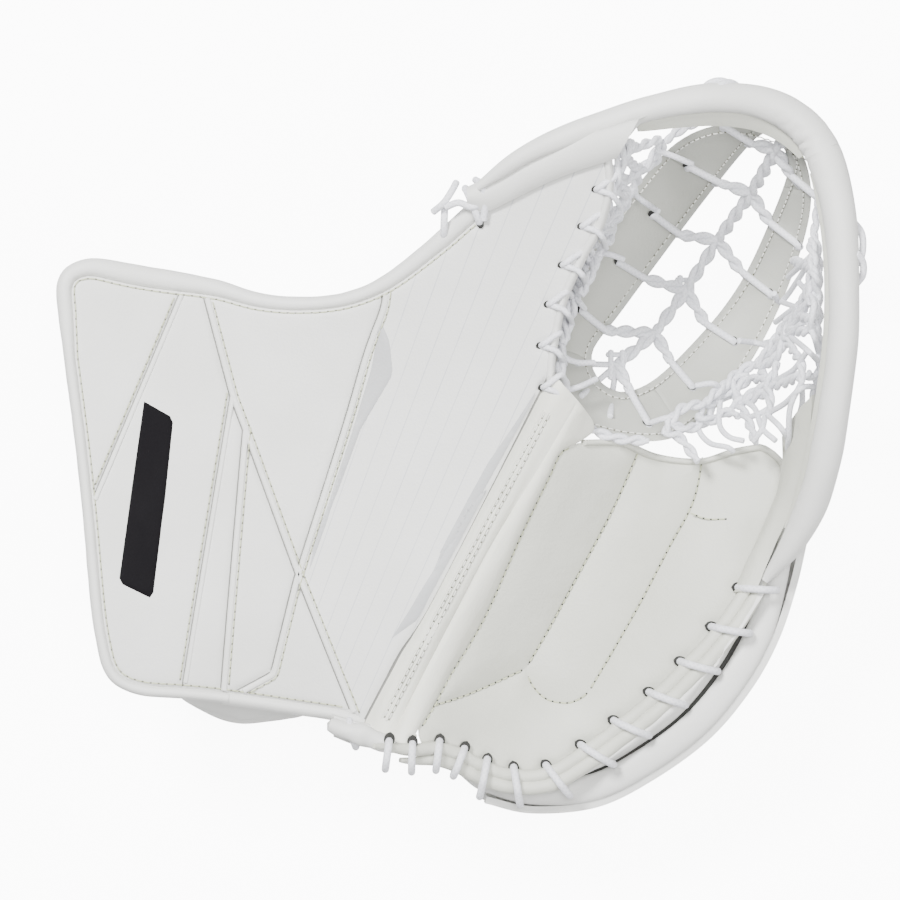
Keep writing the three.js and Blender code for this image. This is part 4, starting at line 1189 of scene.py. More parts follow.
def finger_net():
    """The cords and twisted pairs between the spine and the rim on the finger side."""
    low = on(spline(FINGER_NET_LOW)[:, :2], spine_z, NET_RISE)
    high = spline(FINGER_NET_TOP)
    shape = Shape()
    cords = [
        (2, 0.5, [(100, 11), (103, 18), (109, 24), (118, 26), (126, 27)]),
        (2, 1.0, [(126, 27), (130, 35), (138, 42), (146, 46)]),
        (2, 1.0, [(146, 46), (152, 53), (157, 62), (162, 69)]),
        (2, 0.5, [(162, 69), (166, 78), (168, 90), (168, 104)]),
        (2, 1.5, [(170, 108), (171.5, 95), (171, 82), (171, 72), (171, 62)]),
        (2, 1.5, [(171, 62), (173, 48), (171.5, 36), (169, 22), (166, 7)]),
        (1, 0.5, [(168, 96), (164, 86), (158, 76), (154, 80)]),
        (2, 1.0, [(128, 30), (135, 31), (137, 25), (140, 18), (143, 7)]),
        (2, 1.0, [(146, 46), (149, 37), (150, 28), (149, 20)]),
        (1, 1.0, [(149, 20), (154, 14), (160, 6)]),
        (2, 1.0, [(157, 62), (160, 52), (163, 44), (163, 36)]),
        (1, 1.5, [(163, 36), (158, 24), (158, 10), (158.5, 4)]),
        (1, 0.5, [(163, 36), (164, 26), (162, 16), (164, 6)]),
        (2, 0.5, [(150, 34), (157, 36), (163, 39), (170, 39)]),
        (2, 0.0, [(137, 26), (144, 29), (150, 32)]),
        (1, 1.0, [(126, 27), (131, 29), (136, 31)]), (1, 1.5, [(139, 19), (145, 21), (150, 24)]),
        (1, 0.5, [(119, 24), (117, 14), (122, 7), (130, 5), (133, 3)]),
        (2, 1.0, [(100, 12), (107, 10), (112, 4), (116, -2)]),
        (2, 0.5, [(124, 25), (121, 18), (112, 14), (104, 16)]),
        (2, 1.5, [(166, 76), (169, 84), (172, 92)]), (2, 0.5, [(158, 62), (165, 60), (171, 62)]),
        (2, 1.0, [(162, 69), (167, 66), (171, 72)]), (1, 0.5, [(152, 54), (146, 56), (137, 57)]),
        (1, 0.5, [(129, 33), (124, 36), (116, 35)]), (1, 0.5, [(106, 20), (100, 19), (94, 17)]),
        (2, 0.5, [(134, 31), (142, 38), (149, 37)]), (2, 1.0, [(170, 108), (172, 116), (172, 124)]),
        (2, 2.5, [(154, 46), (150, 36), (141, 30), (133, 24)]),
        (1, 2.5, [(128, 28), (127, 16), (131, 10), (138, 8)]),
        (2, 2.0, [(167, 74), (160, 64), (155, 50), (148, 44)]),
        (1, 3.0, [(150, 22), (156, 26), (163, 33), (172, 34)]),
        (1, 2.5, [(160, 58), (166, 50), (172, 46)]), (1, 3.0, [(164, 84), (168, 74), (167, 62), (173, 54)]),
        (2, 2.0, [(116, 20), (124, 18), (130, 22), (136, 20)]),
        (1, 3.5, [(158, 76), (164, 70), (168, 58), (172, 50)]),
        (2, 3.0, [(163, 96), (168, 88), (170, 78), (168, 66)]), (1, 4.0, [(161, 88), (166, 94), (172, 100)]),
        (1, 3.5, [(155, 66), (162, 72), (172, 78)]), (1, 3.0, [(150, 56), (158, 58), (164, 64), (173, 66)]),
        (1, 2.0, [(134, 38), (136, 30), (143, 24), (146, 14), (152, 8)]),
        (1, 3.0, [(142, 8), (146, 14), (148, 22)]),
        (1, 2.5, [(165, 50), (160, 42), (152, 36), (149, 28)]),
        (2, 1.5, [(120, 26), (126, 32), (134, 37), (142, 40)]),
        (1, 3.5, [(172, 88), (167, 80), (165, 70), (158, 60), (152, 50)]),
    ]
    cords_on(shape, low, high, cords)
    put(shape.object("finger_net_cords", CORD), (SPINE, PALM, (140, 60, 90), (160, 48, 118)), "lace_cord",
        "finger_net")
    put_eyelets("band_holes", SPINE, BAND_HOLES_LEFT + BAND_HOLES_RIGHT, spine_z, (0.6, -0.8, 0), 3.3, 2.6)


def slot_lacing():
    """The twisted cord down the middle of the slot, tied through the holes of both bands."""
    shape = Shape()
    chain = [(78, 45.5), (97.5, 61.5), (113, 83), (128, 107), (142.5, 128.5), (152, 147), (157, 157)]
    left = [((72.5, 62.5), (60, 72)), ((92.5, 88.5), (79, 96)), ((109.5, 109.8), (96, 119)),
            ((127.5, 133.5), (112, 141)), ((141, 150), (127, 158))]
    right = [((84.6, 32), (93, 16.5)), ((105, 47.5), (115.5, 34.5)), ((122.5, 66.5), (136.5, 57)),
             ((139, 92.5), (154, 80)), ((151.5, 115), (166, 103)), ((159, 136), (173, 124))]
    rise = 4.4

    def point(p, lift=rise):
        return (p[0], p[1], float(spine_z(*p)) + lift)

    for a, b in zip(chain, chain[1:]):
        twist(shape, np.array([point(a), point(b)]), WEB * 1.25, 2, WEB * 1.15, 21.0)
    for nodes, ties in ((chain[1:], left), (chain, right)):
        for node, (edge, hole) in zip(nodes, ties):
            twist(shape, np.array([point(node), point(edge)]), WEB * 1.25, 2, WEB * 1.1, 20.0, 1.2)
            over = [point(edge), point(((edge[0] + hole[0]) / 2, (edge[1] + hole[1]) / 2), 4.0),
                point(hole, 3.4),
                    (hole[0] - 0.4, hole[1] - 0.4, float(spine_z(*hole)) - 0.5)]
            shape.sweep(spline(over, 1.6), WEB * 1.25, sides=10)
            step = np.array(hole) - np.array(edge)
            under = [point(edge), (edge[0] + step[0] * 0.25 + 1.2, edge[1] + step[1] * 0.25 - 1.6,
                                   float(spine_z(*edge)) - 1.5),
                     (edge[0] + step[0] * 0.7, edge[1] + step[1] * 0.7, float(spine_z(*edge)) - 4.0)]
            shape.sweep(spline(under, 1.6), WEB * 1.1, sides=10)
    for node in (chain[0], chain[2]):
        for dx in (-2.9, 2.9):
            x, y, z = point(node)
            shape.sweep(np.array([(x + dx, y - 7, z), (x + dx, y, z + 0.4), (x + dx, y + 7, z)]), WEB,
                sides=10)
        for dy in (-5, 5):
            x, y, z = point(node)
            shape.sweep(np.array([(x - 5, y + dy, z - 0.6), (x, y + dy, z - 0.8), (x + 5, y + dy, z - 0.6)]),
                        WEB * 0.9, sides=10)
    start = point(chain[0])
    for end in ((58, 46), (60, 30), (74, 20)):
        shape.sweep(spline([start, ((start[0] + end[0]) / 2, (start[1] + end[1]) / 2, start[2] + 1.0),
            point(end, 3.4)],
                           1.6), WEB * 1.05, sides=10)
    put(shape.object("slot_lacing_cords", CORD), SPINE, "lace_cord", "slot_lacing")


def thumb_edge():
    """The rounded leather edge of the thumb beside the pocket."""
    line = spline([*POCKET_LINE, (46, 22), (38, 12)], 2.0)
    path = on(line[:, :2], face_z, -4.2)
    path[:, 2] -= np.clip((40 - path[:, 1]) / 30, 0, 1) * 3.0
    edge = Shape()
    edge.sweep(path, 2.5, 4.6, sides=18, up=(0, 0, 1))
    put(edge.object("thumb_lip_leather", WHITE), ROOT, "leather_white", "thumb_lip")


# ---- Break between the thumb and the palm ----
STRIP_THUMB = (ROOT, SPINE, (1, -43, 90), (12.4, -49.1, 90))
STRIP_PALM = (SPINE, PALM, (12.4, -49.1, 90), (21.2, -53.8, 90))


def break_z(x, y):
    """The two strips sag between the face and the palm."""
    across = 0.88 * x - 0.47 * y
    face, beyond = face_z(x, y), palm_z(x, y)
    fold = (face + beyond) / 2 - 1
    first = np.clip((across - 20.5) / 14, 0, 1)
    second = np.clip((across - 34.5) / 11, 0, 1)
    level = face + (fold - face) * first + (beyond - fold) * second
    return level + 1.3 * np.sin(np.pi * first) + 1.0 * np.sin(np.pi * second) - 1.6


def break_strips():
    """The two leather strips that fold between the thumb and the palm."""
    face_side, palm_side = spline(FACE_BREAK, 3.0)[:, :2], spline(PALM_SEAM, 3.0)[:, :2]
    fold = spline(FOLD_LINE, 3.0)[:, :2]
    bottom = spline([(-48, -131), (-45, -136), (-33, -140), (-21, -139), (-20, -132)], 3.0)[:, :2]
    top = spline([(44, 42), (51, 34), (60, 24), (66, 14), (58, 7)], 3.0)[:, :2]
    outline = np.vstack([face_side, bottom[1:], palm_side[::-1][1:], top[::-1][1:-1]])
    over = np.vstack([fold[:1] + 3 * (fold[0] - fold[3]), fold, fold[-1:] + 3 * (fold[-1] - fold[-4])])
    panels = quilt(outline, [over], break_z, 1.1, 4.0, spacing=3.6, rows=(0.7, 1.7, 3.0), wave=(18.0, 0.7))
    put(panel_at(panels, 8, -48).object("break_strip_thumb_leather", CREAM), STRIP_THUMB, "leather_cream",
        "break_strip_thumb")
    put(panel_at(panels, 27, -52).object("break_strip_palm_leather", CREAM), STRIP_PALM, "leather_cream",
        "break_strip_palm")
    # Painted shadow: a dark strip along the foot of the face's edge, beside the strips.
    gap = on(face_side, face_z, -2.4)
    shadow = Shape()
    shadow.sweep(gap + [0.5, -0.3, 0], 0.9, 0.6, sides=6, up=(0, 0, 1))
    put(shadow.object("break_edge_shadow", CREASE_SHADE), ROOT, "leather_cream")
    line = even(spline([(41.8, 22), (7.5, -42.5), (-16.3, -87.7), (-36, -126)], 2.0), 2.0)
    sewing, fold_thread = Sewing(2.6, 3.7), Shape()
    for shift in (0.0, -2.4):
        path = beside(line, shift, break_z, 0.1)
        sewing.run(path, surface_normals(path, break_z))
        ridge = beside(line, shift + 0.9, break_z, -0.15)
        fold_thread.sweep(ridge, 0.55, 0.5, sides=8, up=(0, 0, 1))
    for obj in sewing.objects("break_stitches", STRIP_THUMB, THREAD_WHITE):
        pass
    put(fold_thread.object("break_piping", CREAM), STRIP_THUMB, "leather_cream")


# ---- Palm ----
LACE_HOLES = [
    (-33, -135), (-22, -137), (-9, -137), (3, -141), (14, -147), (27, -151), (43, -150), (60, -140),
    (76, -128),
    (93, -114), (108, -99), (123, -82), (136, -63),
]
PALM_LOW = [(-20, -138), (-9, -141.5), (3, -145), (14, -149), (27, -153), (43, -152), (60, -142), (76, -130),
            (93, -116), (108, -101), (123, -84), (138, -64)]
PALM_RIGHT = [(142, -57), (146, -43), (153, -31), (157.5, -15), (158, -4), (153, 2)]
PALM_TOP = [(148, 5), (134, 2.5), (118, -2), (97, 0), (81, 6.4), (73, 7.3), (58, 7)]
PALM_SEAMS = [
    [(89, 6), (75, -26), (57, -60), (44, -84), (33, -103)],
    [(120, 4), (115, -21), (103, -44), (90, -69), (77, -92), (64, -114)],
    [(-16, -121), (2, -116), (15, -111), (33, -103)],
    [(33, -103), (36, -111), (43, -118), (53, -120), (60, -117.5), (64, -114)],
]


def palm():
    """The quilted panels of the palm, with their seams, stitches and thin dark strips of painted shade in the
    seam grooves.
    """
    seam, low = spline(PALM_SEAM, 2.5), spline(PALM_LOW, 2.5)
    right, top = spline(PALM_RIGHT, 2.5), spline(PALM_TOP, 2.5)
    outline = np.vstack([seam, low[1:], right, top[:-1]])[:, :2]
    inner = [spline(s, 2.0)[:, :2] for s in PALM_SEAMS[:3]]
    loop = spline(PALM_SEAMS[3], 1.5)[:, :2]
    holes = [(x + 0.3, y - 0.5, 2.0, 3.4) for x, y in LACE_HOLES[2:]]
    panels = quilt(outline, [*inner, loop], palm_z, *PALM_SKIN, spacing=3.8, rows=(0.7, 1.8, 3.2, 5.0),
        skirt=4.6,
                   wave=(34.0, 1.1), dimples=holes, pucker=0.25)
    places = {"palm_panel_inner": (35, -60), "palm_panel_middle": (85, -45), "palm_panel_fingers": (115, -60)}
    shown = []
    for name, (x, y) in places.items():
        panel = panel_at(panels, x, y)
        nodes = [name]
        if panel is panel_at(panels, 10, -130):
            nodes.append("palm_panel_heel")
        put(panel.object(name + "_leather", PALM_WHITE), STRIP_PALM, "leather_palm", *nodes)
        shown.append(panel)
    heel = panel_at(panels, 10, -130)
    if not any(heel is p for p in shown):
        put(heel.object("palm_panel_heel_leather", PALM_WHITE), STRIP_PALM, "leather_palm", "palm_panel_heel")
    sewing, creases = Sewing(2.5, 3.6), Shape()
    lines = [s[2:-1] for s in (spline(q, 2.0) for q in PALM_SEAMS)]
    lines.append(spline([(113, -27), (121, -30), (131, -30)], 2.0))
    lines.append(sideways(seam, -0.9)[2:-1])
    depth = PALM_SKIN[0]
    for k, line in enumerate(lines):
        drop = 0.15 if k == 4 else -depth + 0.35
        path = on(line[:, :2], palm_z, drop)
        sewing.run(path, surface_normals(path, palm_z))
        if k != 4:
            # Painted shade: a thin dark strip in the groove of the seam.
            creases.sweep(path - [0, 0, 0.35], 0.3, 0.25, sides=6, up=(0, 0, 1))
    # The palm's needle holes are drawn near-black as painted shade.
    for obj in sewing.objects("palm_stitches", STRIP_PALM, None, DARK):
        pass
    put(creases.object("palm_crease_shadows", CREASE_SHADE), STRIP_PALM, "leather_palm")
    foam_edge = even(np.vstack([seam[2:-2] + [6, 0, 0], low[3:-1] + [0, 8, 0], right[1:] + [-9, 0, 0],
                                top[:-2] + [0, -7, 0]]), 4.0)[:-1]
    foam = pillow(foam_edge, lambda x, y: palm_z(x, y) - 12.5, 4.4, 8.0, 6.0)
    put(closed(foam.object("palm_foam_pad", FOAM)), STRIP_PALM, "foam", "palm_foam")
    fold = Shape()
    path = on(np.vstack([right[2:], top[:-1]])[:, :2], palm_z, -3.8)
    fold.sweep(even(path, 2.5), 1.7, 2.6, sides=14, up=(0, 0, 1), bumps=lambda r,
        a: 0.15 * np.sin(r / 9) + 0 * a)
    put(fold.object("palm_folded_edge", PALM_WHITE), STRIP_PALM, "leather_palm")


# ---- Rolls and laces along the heel and the finger tips ----
RIM_TOP = [
    (14, -166, 70), (36, -171, 68), (67, -168, 70), (94, -154, 78), (120, -134, 86), (139, -111, 89),
    (152, -88, 88), (161, -62, 86), (167, -36, 86),
]
RIM_LOW = [
    (12, -146, 0.6), (34, -150, 0.6), (60, -148, 0.6), (84, -136, 0.6), (108, -114, 0.6), (126, -92, 0.6),
    (138, -72, 0.6), (147, -50, 0.6), (152, -30, 0.6),
]


def hole_line():
    ends = [(-40, -134), *LACE_HOLES, (141, -54)]
    return spline(ends, 2.0)


def rim_line():
    """Outer edge of the wall round the finger tips, seen from above."""
    return resample(spline([(-8, -148, 88), (2, -158.5, 77), *RIM_TOP], 2.0), 110)


def palm_rolls():
    """Two stuffed rolls side by side, and the leather flap that slopes from them to the rim."""
    line = hole_line()
    fade = np.sin(np.clip(np.linspace(0, 1, len(line)) * 9, 0, 1) * math.pi / 2)
    end = np.sin(np.clip(np.linspace(1, 0, len(line)) * 12, 0, 1) * math.pi / 2)
    taper = 0.3 + 0.7 * np.minimum(fade, end)

    def soft(run, angle):
        return 0.3 * np.array([[noise.noise(Vector((r / 7, 5.5, 0)))] for r in run[:, 0]]) + 0 * angle

    for name, shift, rise, radius, nodes in (("palm_edge_roll_inner", 3.6, -1.6, 3.3, ["palm_edge_roll"]),
                                             ("palm_edge_roll_outer", 9.0, -4.0, 3.6, [])):
        roll = Shape()
        late = len(line) // 16 if shift > 5 else 0
        path = on(sideways(line, shift)[late:, :2], palm_z, rise)
        thick = radius * (taper[late:] if late == 0 else np.minimum(taper[:len(path)], taper[late:]))
        roll.sweep(path, thick, thick * 0.95, sides=20, up=(0, 0, 1), bumps=soft)
        put(roll.object(name, PALM_WHITE), STRIP_PALM, "leather_palm", *nodes)
    inner = sideways(line, 11.5)
    keep = slice(14, len(line) - 4)
    start = resample(on(inner[keep, :2], palm_z, -4.5), 80)
    edge = rim_line()
    reach = np.interp(np.linspace(0, 1, 110), [0, 0.15, 0.35, 0.75, 0.9, 1],
        [4.0, 9.0, 15.6, 16.6, 14.5, 12.4])
    moved = edge.copy()
    t = tangents(edge)
    moved[:, 0] -= t[:, 1] * reach
    moved[:, 1] += t[:, 0] * reach
    moved[:, 2] += 2.6
    finish = resample(moved[10:-8], 80)
    rows = []
    for s in np.linspace(0, 1, 10):
        p = start * (1 - s) + finish * s
        p[:, 2] += 2.4 * math.sin(math.pi * s) + 0.5 * np.array([noise.noise(Vector((x / 14, s * 2,
            9))) for x in p[:, 0]])
        rows.append(p)
    rows.append(rows[-1] + [0.6, -0.8, -3.0])
    flap = Shape()
    flap.shell(np.stack(rows, axis=1)[:, ::-1], 2.0)
    put(flap.object("finger_flap", WHITE), STRIP_PALM, "leather_palm")


def palm_laces():
    """One lace wound over the rolls, through the holes of the palm."""
    line = hole_line()
    out = sideways(line, 1.0)[:, :2] - line[:, :2]
    along = tangents(line)[:, :2]
    laces, places = Shape(), []
    for k, hole in enumerate(LACE_HOLES):
        i = int(np.argmin(np.linalg.norm(line[:, :2] - hole, axis=1)))
        o, t = out[i], along[i]
        lean = 0.16 + 0.34 * min(1, max(0, (k - 3) / 5))
        way = o * math.cos(lean) + t * math.sin(lean)
        way = way if k > 3 else o + 0.05 * t
        p = np.array(hole, float)
        z = float(palm_z(*hole))
        route = [(-1.4, z - 5.5), (-0.4, z - 0.6), (2.8, z + 3.6), (6.2, z + 3.3), (9.8, z + 2.6),
            (13.2, z - 0.9),
                 (16.4, z - 3.6), (18.2, z - 7.5)]
        if k < 4:
            route = [(-0.8, z - 4.5), (0.2, z - 0.8), (3.0, z + 3.0), (6.2, z + 2.8), (9.8, z + 1.6),
                     (13.2, z - 2.6), (14.6, z - 8), (13.6, z - 14)]
        path = [(*(p + way * r), h - z + float(palm_z(*(p + way * min(r, 13))))) for r, h in route]
        laces.sweep(spline(path, 1.2), LACE * 1.08, sides=14)
        places.append(((*(p - way * 1.5), z - 0.9 if k > 1 else z + 0.2), (0, 0, 1), (*-way, 0)))
    put(laces.object("palm_lace_cord", CORD), STRIP_PALM, "lace_cord", "palm_lace")
    eyelets("palm_lace_holes", STRIP_PALM, places, 3.4)


def heel_corner():
    """The laced tab at the heel, where the cuff's roll meets the palm's."""
    roll = Shape()
    path = spline([(-62, -128.5, 101), (-56, -131, 101), (-47, -133.5, 101.5), (-38, -136.5, 108),
        (-31, -139, 112)], 1.5)
    roll.sweep(path, [3.2 + 1.8 * math.sin(math.pi * s) for s in np.linspace(0, 1, len(path))], 4.2, sides=18,
               up=(0, 0, 1), bumps=lambda r, a: 0.35 * np.sin(r / 2.1 + 2 * np.sin(a)) + 0 * a)
    put(roll.object("heel_corner_roll", WHITE), STRIP_THUMB, "leather_white")
    tab = Shape()
    rows = [spline([(-60, -124 - 2.0 * k, 0), (-50, -127 - 2.2 * k, 0), (-40, -129 - 2.2 * k, 0)],
        1.5) for k in range(6)]
    rows = [resample(r, 16) for r in rows]
    for k, r in enumerate(rows):
        r[:, 2] = face_z(r[:, 0], r[:, 1]) + 0.9 - 0.16 * k * k
    tab.shell(np.stack(rows, axis=1), 1.6)
    put(tab.object("heel_tab", WHITE), ROOT, "leather_white")
    lace = Shape()
    x, y = -52.5, -127
    z = float(face_z(x, y))
    lace.sweep(spline([(x, y + 0.6, z - 4), (x, y, z + 1.2), (x + 0.4, y - 4, z + 3.6),
        (x + 1.6, y - 9, z + 1.6),
                       (x + 2.8, y - 13, z - 4.5), (x + 3.0, y - 13, z - 12)], 1.2), LACE, sides=14)
    lace.sweep(spline([(x + 9, y - 3, z + 0.5), (x + 10, y - 7, z + 3), (x + 11.5, y - 11, z - 0.5),
                       (x + 12, y - 12, z - 8)], 1.2), LACE, sides=14)
    put(lace.object("heel_lace_cord", CORD), ROOT, "lace_cord", "heel_lace")
    eyelets("heel_lace_hole", ROOT, [((x, y, z + 1.0), (0, 0, 1), (0, 1, 0))], 2.2)


def thumb_laces():
    """Two laces over the rounded edge near the tip of the thumb, and a loose end."""

    def over(name, node, x, y, top):
        lace = Shape()
        z = float(face_z(x, y))
        rise = [(-0.6, -5.0), (0.4, 0.4), (4.5, 3.4), (9.5, 3.0), (13.5, -2.0), (13.8, -9.0)]
        dx, dy = (top[0] - x) / 13.5, (top[1] - y) / 13.5
        lace.sweep(spline([(x + dx * r, y + dy * r, z + h) for r, h in rise], 1.2), LACE * 1.05, sides=14)
        put(lace.object(name, CORD), ROOT, "lace_cord", node)
        return (x, y, z + 0.2), (0, 0, 1), (dx, dy, 0)

    first = over("thumb_lace_lower_cord", "thumb_lace_lower", -7, 106, (-6.5, 120.5))
    second = over("thumb_lace_upper_cord", "thumb_lace_upper", 10, 112, (3.5, 128))
    eyelets("thumb_tip_holes", ROOT, [first, second], 2.3)
    ties = Shape()
    z = float(face_z(10, 120))
    ties.sweep(spline([(12, 113, z + 1), (12.5, 121, z + 4.5), (11, 129, z + 8), (8, 132, z + 2)], 1.4),
        LACE, sides=12)
    ties.sweep(spline([(-12, 117, z - 3), (-7, 121, z + 1.5), (-3, 127, z + 1), (-1, 131, z - 3)], 1.4),
        LACE, sides=12)
    ties.sweep(spline([(-6, 119, z + 1), (0, 121, z + 3.5), (6, 119, z + 3), (12, 121, z + 3)], 1.4),
        LACE, sides=12)
    put(ties.object("thumb_tip_ties", CORD), ROOT, "lace_cord")
    loops = Shape()
    loops.sweep(spline([(114, 172, 149), (118, 176, 151), (124, 177, 152), (131, 174, 150)], 1.2), LACE,
        sides=12)
    loops.sweep(spline([(120, 171, 156), (124, 175.5, 155), (129, 176, 151), (133, 173, 147)], 1.2), LACE,
        sides=12)
    put(loops.object("rim_lace_loops", CORD), SPINE, "lace_cord")
    side = Shape()
    side.sweep(spline([(186, 112, 142), (190, 106, 145), (190.5, 98, 146), (189, 91, 143)], 1.2), LACE,
        sides=12)
    side.sweep(spline([(187, 96, 152), (190.3, 92, 149), (190.5, 86, 146), (188, 82, 141)], 1.2), LACE,
        sides=12)
    put(side.object("rim_lace_side", CORD), PALM, "lace_cord")


# ---- Sides and back ----
def loft(upper, lower, count, rows, bulge, wave=0.0, flat_ends=False):
    """Rows of points between two lines, swelling outwards in the middle."""
    top, low = resample(spline(upper, 2.0), count), resample(spline(lower, 2.0), count)
    t = tangents(top)
    out = np.column_stack([t[:, 1], -t[:, 0], 0 * t[:, 0]])
    out /= np.linalg.norm(out, axis=1, keepdims=True)
    swell = np.full((count, 1), float(bulge))
    if flat_ends:
        swell[:, 0] *= np.sin(np.pi * np.linspace(0.06, 0.94, count)) ** 0.6
    grid = []
    for s in np.linspace(0, 1, rows):
        p = top * (1 - s) + low * s + out * swell * math.sin(math.pi * s)
        ripples = np.array([noise.noise(Vector((x / 26, y / 26, s * 3))) for x, y in p[:, :2]])
        grid.append(p + out * (wave * math.sin(math.pi * s) * ripples)[:, None])
    return np.stack(grid, axis=1)


def wall_stitches(grid, rows, name, body, material=None, thickness=0.1):
    """Stitches along chosen rows of a lofted wall."""
    sewing = Sewing(2.6, 4.0)
    du, dv = np.gradient(grid, axis=0), np.gradient(grid, axis=1)
    normal = np.cross(du, dv)
    normal /= np.maximum(np.linalg.norm(normal, axis=2, keepdims=True), 1e-9)
    for row in rows:
        sewing.run(grid[:, row] + normal[:, row] * thickness, normal[:, row])
    return sewing.objects(name, body, material)


def finger_wall():
    """The stitched wall round the finger tips, with its rim."""
    grid = loft(RIM_TOP, RIM_LOW, 110, 40, 5.0, 1.4)
    for row in (6, 20, 33):
        dent = np.exp(-((np.arange(40) - row) / 1.3) ** 2)[None, :, None]
        inward = grid.mean(axis=(0, 1)) - grid
        inward[..., 2] = 0
        inward /= np.linalg.norm(inward, axis=2, keepdims=True)
        grid = grid + inward * 1.1 * dent
    shape = Shape()
    shape.shell(grid, 3.6)
    put(shape.object("finger_board_leather", WHITE), PALM, "leather_white", "finger_board")
    wall_stitches(grid, (6, 20, 33), "finger_board_stitches", PALM)
    top = rim_line()
    middle = sideways(top, -6.6)
    middle[:, 2] = top[:, 2] - 1.0
    width = np.interp(np.linspace(0, 1, 110), [0, 0.1, 0.3, 0.8, 1], [2.0, 4.5, 6.8, 6.8, 3.6])
    rim = Shape()
    rim.sweep(middle, width, 4.4, sides=22, up=(0, 0, 1), power=0.85)
    put(rim.object("finger_board_rim", WHITE), PALM, "leather_white")
    # Painted shade: a near-black rod in the gap under the rim, where the lining lies in shade.
    below = sideways(top, -14.5)
    below[:, 2] = top[:, 2] - 5.0
    dark = Shape()
    dark.sweep(below[8:-8], 3.6, 5.0, sides=12, up=(0, 0, 1))
    put(dark.object("finger_gap_lining_shade", DARK), PALM, "lining_fabric")


BACK_EDGE = [
    (-50, -104), (-30, -128), (12, -141.5), (34, -145.5), (59, -143.5), (81, -132), (104.5, -111),
    (122, -89.5),
    (133.8, -70), (142.6, -49), (146.5, -29), (137, -12), (112, -6), (70, -10), (20, -30), (-30, -40),
]


def shrink(outline, offset):
    """A closed outline moved inwards, given counter-clockwise."""
    closed = np.vstack([outline, outline[:1]])
    path = np.column_stack([closed, np.zeros(len(closed))])
    return sideways(path, -offset)[:-1, :2]


def back_of_hand():
    """The shell over the back of the hand and the soft pad inside it."""
    outline = even(spline([*BACK_EDGE, BACK_EDGE[0]], 2.0), 4.0)[:-1, :2]
    board = pillow(outline, lambda x, y: 5.0 + 0 * x, 5.0, 4.0, 7.0)
    put(closed(board.object("backhand_board_leather", WHITE)), PALM, "leather_white",
        "backhand_board")
    ring = np.vstack([outline, outline[:1]])
    binding, sewing = Shape(), Sewing(2.7, 4.2)
    binding.sweep(np.column_stack([ring, np.full(len(ring), 5.0)]), 2.0, 4.6, sides=14, up=(0, 0, 1))
    put(binding.object("backhand_binding", WHITE), PALM, "leather_white")
    low = shrink(outline, 5.0)
    path = np.column_stack([np.vstack([low, low[:1]]), np.full(len(low) + 1, 10.05)])
    sewing.run(path, np.tile([0.0, 0.0, 1.0], (len(path), 1)))
    for obj in sewing.objects("backhand_stitches", PALM):
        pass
    pad = pillow(shrink(outline, 9.0)[::2], lambda x, y: 14.2 + 0 * x, 3.7, 7.0, 6.0)
    put(stuffed(pad.object("backhand_pad_fabric", LINING), 0.0015), PALM, "lining_fabric",
                  "backhand_pad")


def stuffed(obj, most):
    """A pad blown up with a cloth simulation, so that its fabric stretches and wrinkles."""
    closed(obj)
    scene = bpy.context.scene
    rest = np.array([tuple(v.co) for v in obj.data.vertices])
    cloth = obj.modifiers.new("cloth", "CLOTH")
    cloth.settings.use_pressure = True
    cloth.settings.uniform_pressure_force = 3.0
    cloth.settings.tension_stiffness = cloth.settings.compression_stiffness = 30
    cloth.settings.effector_weights.gravity = 0
    cloth.point_cache.frame_start, cloth.point_cache.frame_end = 1, 14
    for step in range(1, 15):
        scene.frame_set(step)
    shaped = obj.evaluated_get(bpy.context.evaluated_depsgraph_get())
    moved = np.array([tuple(v.co) for v in shaped.data.vertices]) - rest
    moved -= moved.mean(axis=0)
    reach = np.linalg.norm(moved, axis=1, keepdims=True)
    moved *= most / max(most, float(reach.max()))
    obj.modifiers.remove(cloth)
    scene.frame_set(1)
    obj.data.vertices.foreach_set("co", (rest + moved).ravel())
    obj.data.update()
    return obj


def stalls():
    """The sleeves that the fingers and the thumb go in."""
    fingers = {
        "index": ((62, -30, 36), (126, -16, 46)), "middle": ((62, -55, 36), (126, -40, 44)),
        "ring": ((54, -80, 36), (112, -65, 42)), "little": ((46, -104, 36), (94, -92, 40)),
    }
    for name, (start, end) in fingers.items():
        piece = sleeve(start, end, 10.8, 2.2).object("finger_stall_" + name + "_fabric", LINING)
        put(piece, PALM, "lining_fabric", "finger_stall_" + name)
    thumb = sleeve((-16, 34, 72), (12, 78, 87), 12.5, 2.2).object("thumb_stall_fabric", LINING)
    put(thumb, ROOT, "lining_fabric", "thumb_stall")


def thumb_back():
    """The padded back of the thumb, and the wall beside it."""
    outline = even(spline([
        (-26, 22), (-34, 52), (-12, 88), (14, 108), (40, 116), (50, 108), (38, 76), (26, 46), (4, 24),
        (-26, 22),
    ]), 4.0)[:-1, :2]
    pad = pillow(outline, lambda x, y: face_z(x, y) - 54, 4.0, 6.0, 6.0)
    put(stuffed(pad.object("thumb_back_leather", WHITE), 0.0018), ROOT, "leather_white",
                  "thumb_back_pad")
    grid = loft([(-40, 66, 90), (-20, 88, 98), (4, 106, 107), (32, 116, 116), (56, 124, 124)],
                [(-36, 58, 58), (-14, 93, 66), (12, 113, 76), (40, 121, 88), (54, 118, 96)], 60, 20, 3.0, 0.9)
    shape = Shape()
    shape.shell(grid, 3.0)
    put(shape.object("thumb_side_leather", WHITE), ROOT, "leather_white", "thumb_side_wall")
    wall_stitches(grid, (3, 16), "thumb_side_stitches", ROOT)


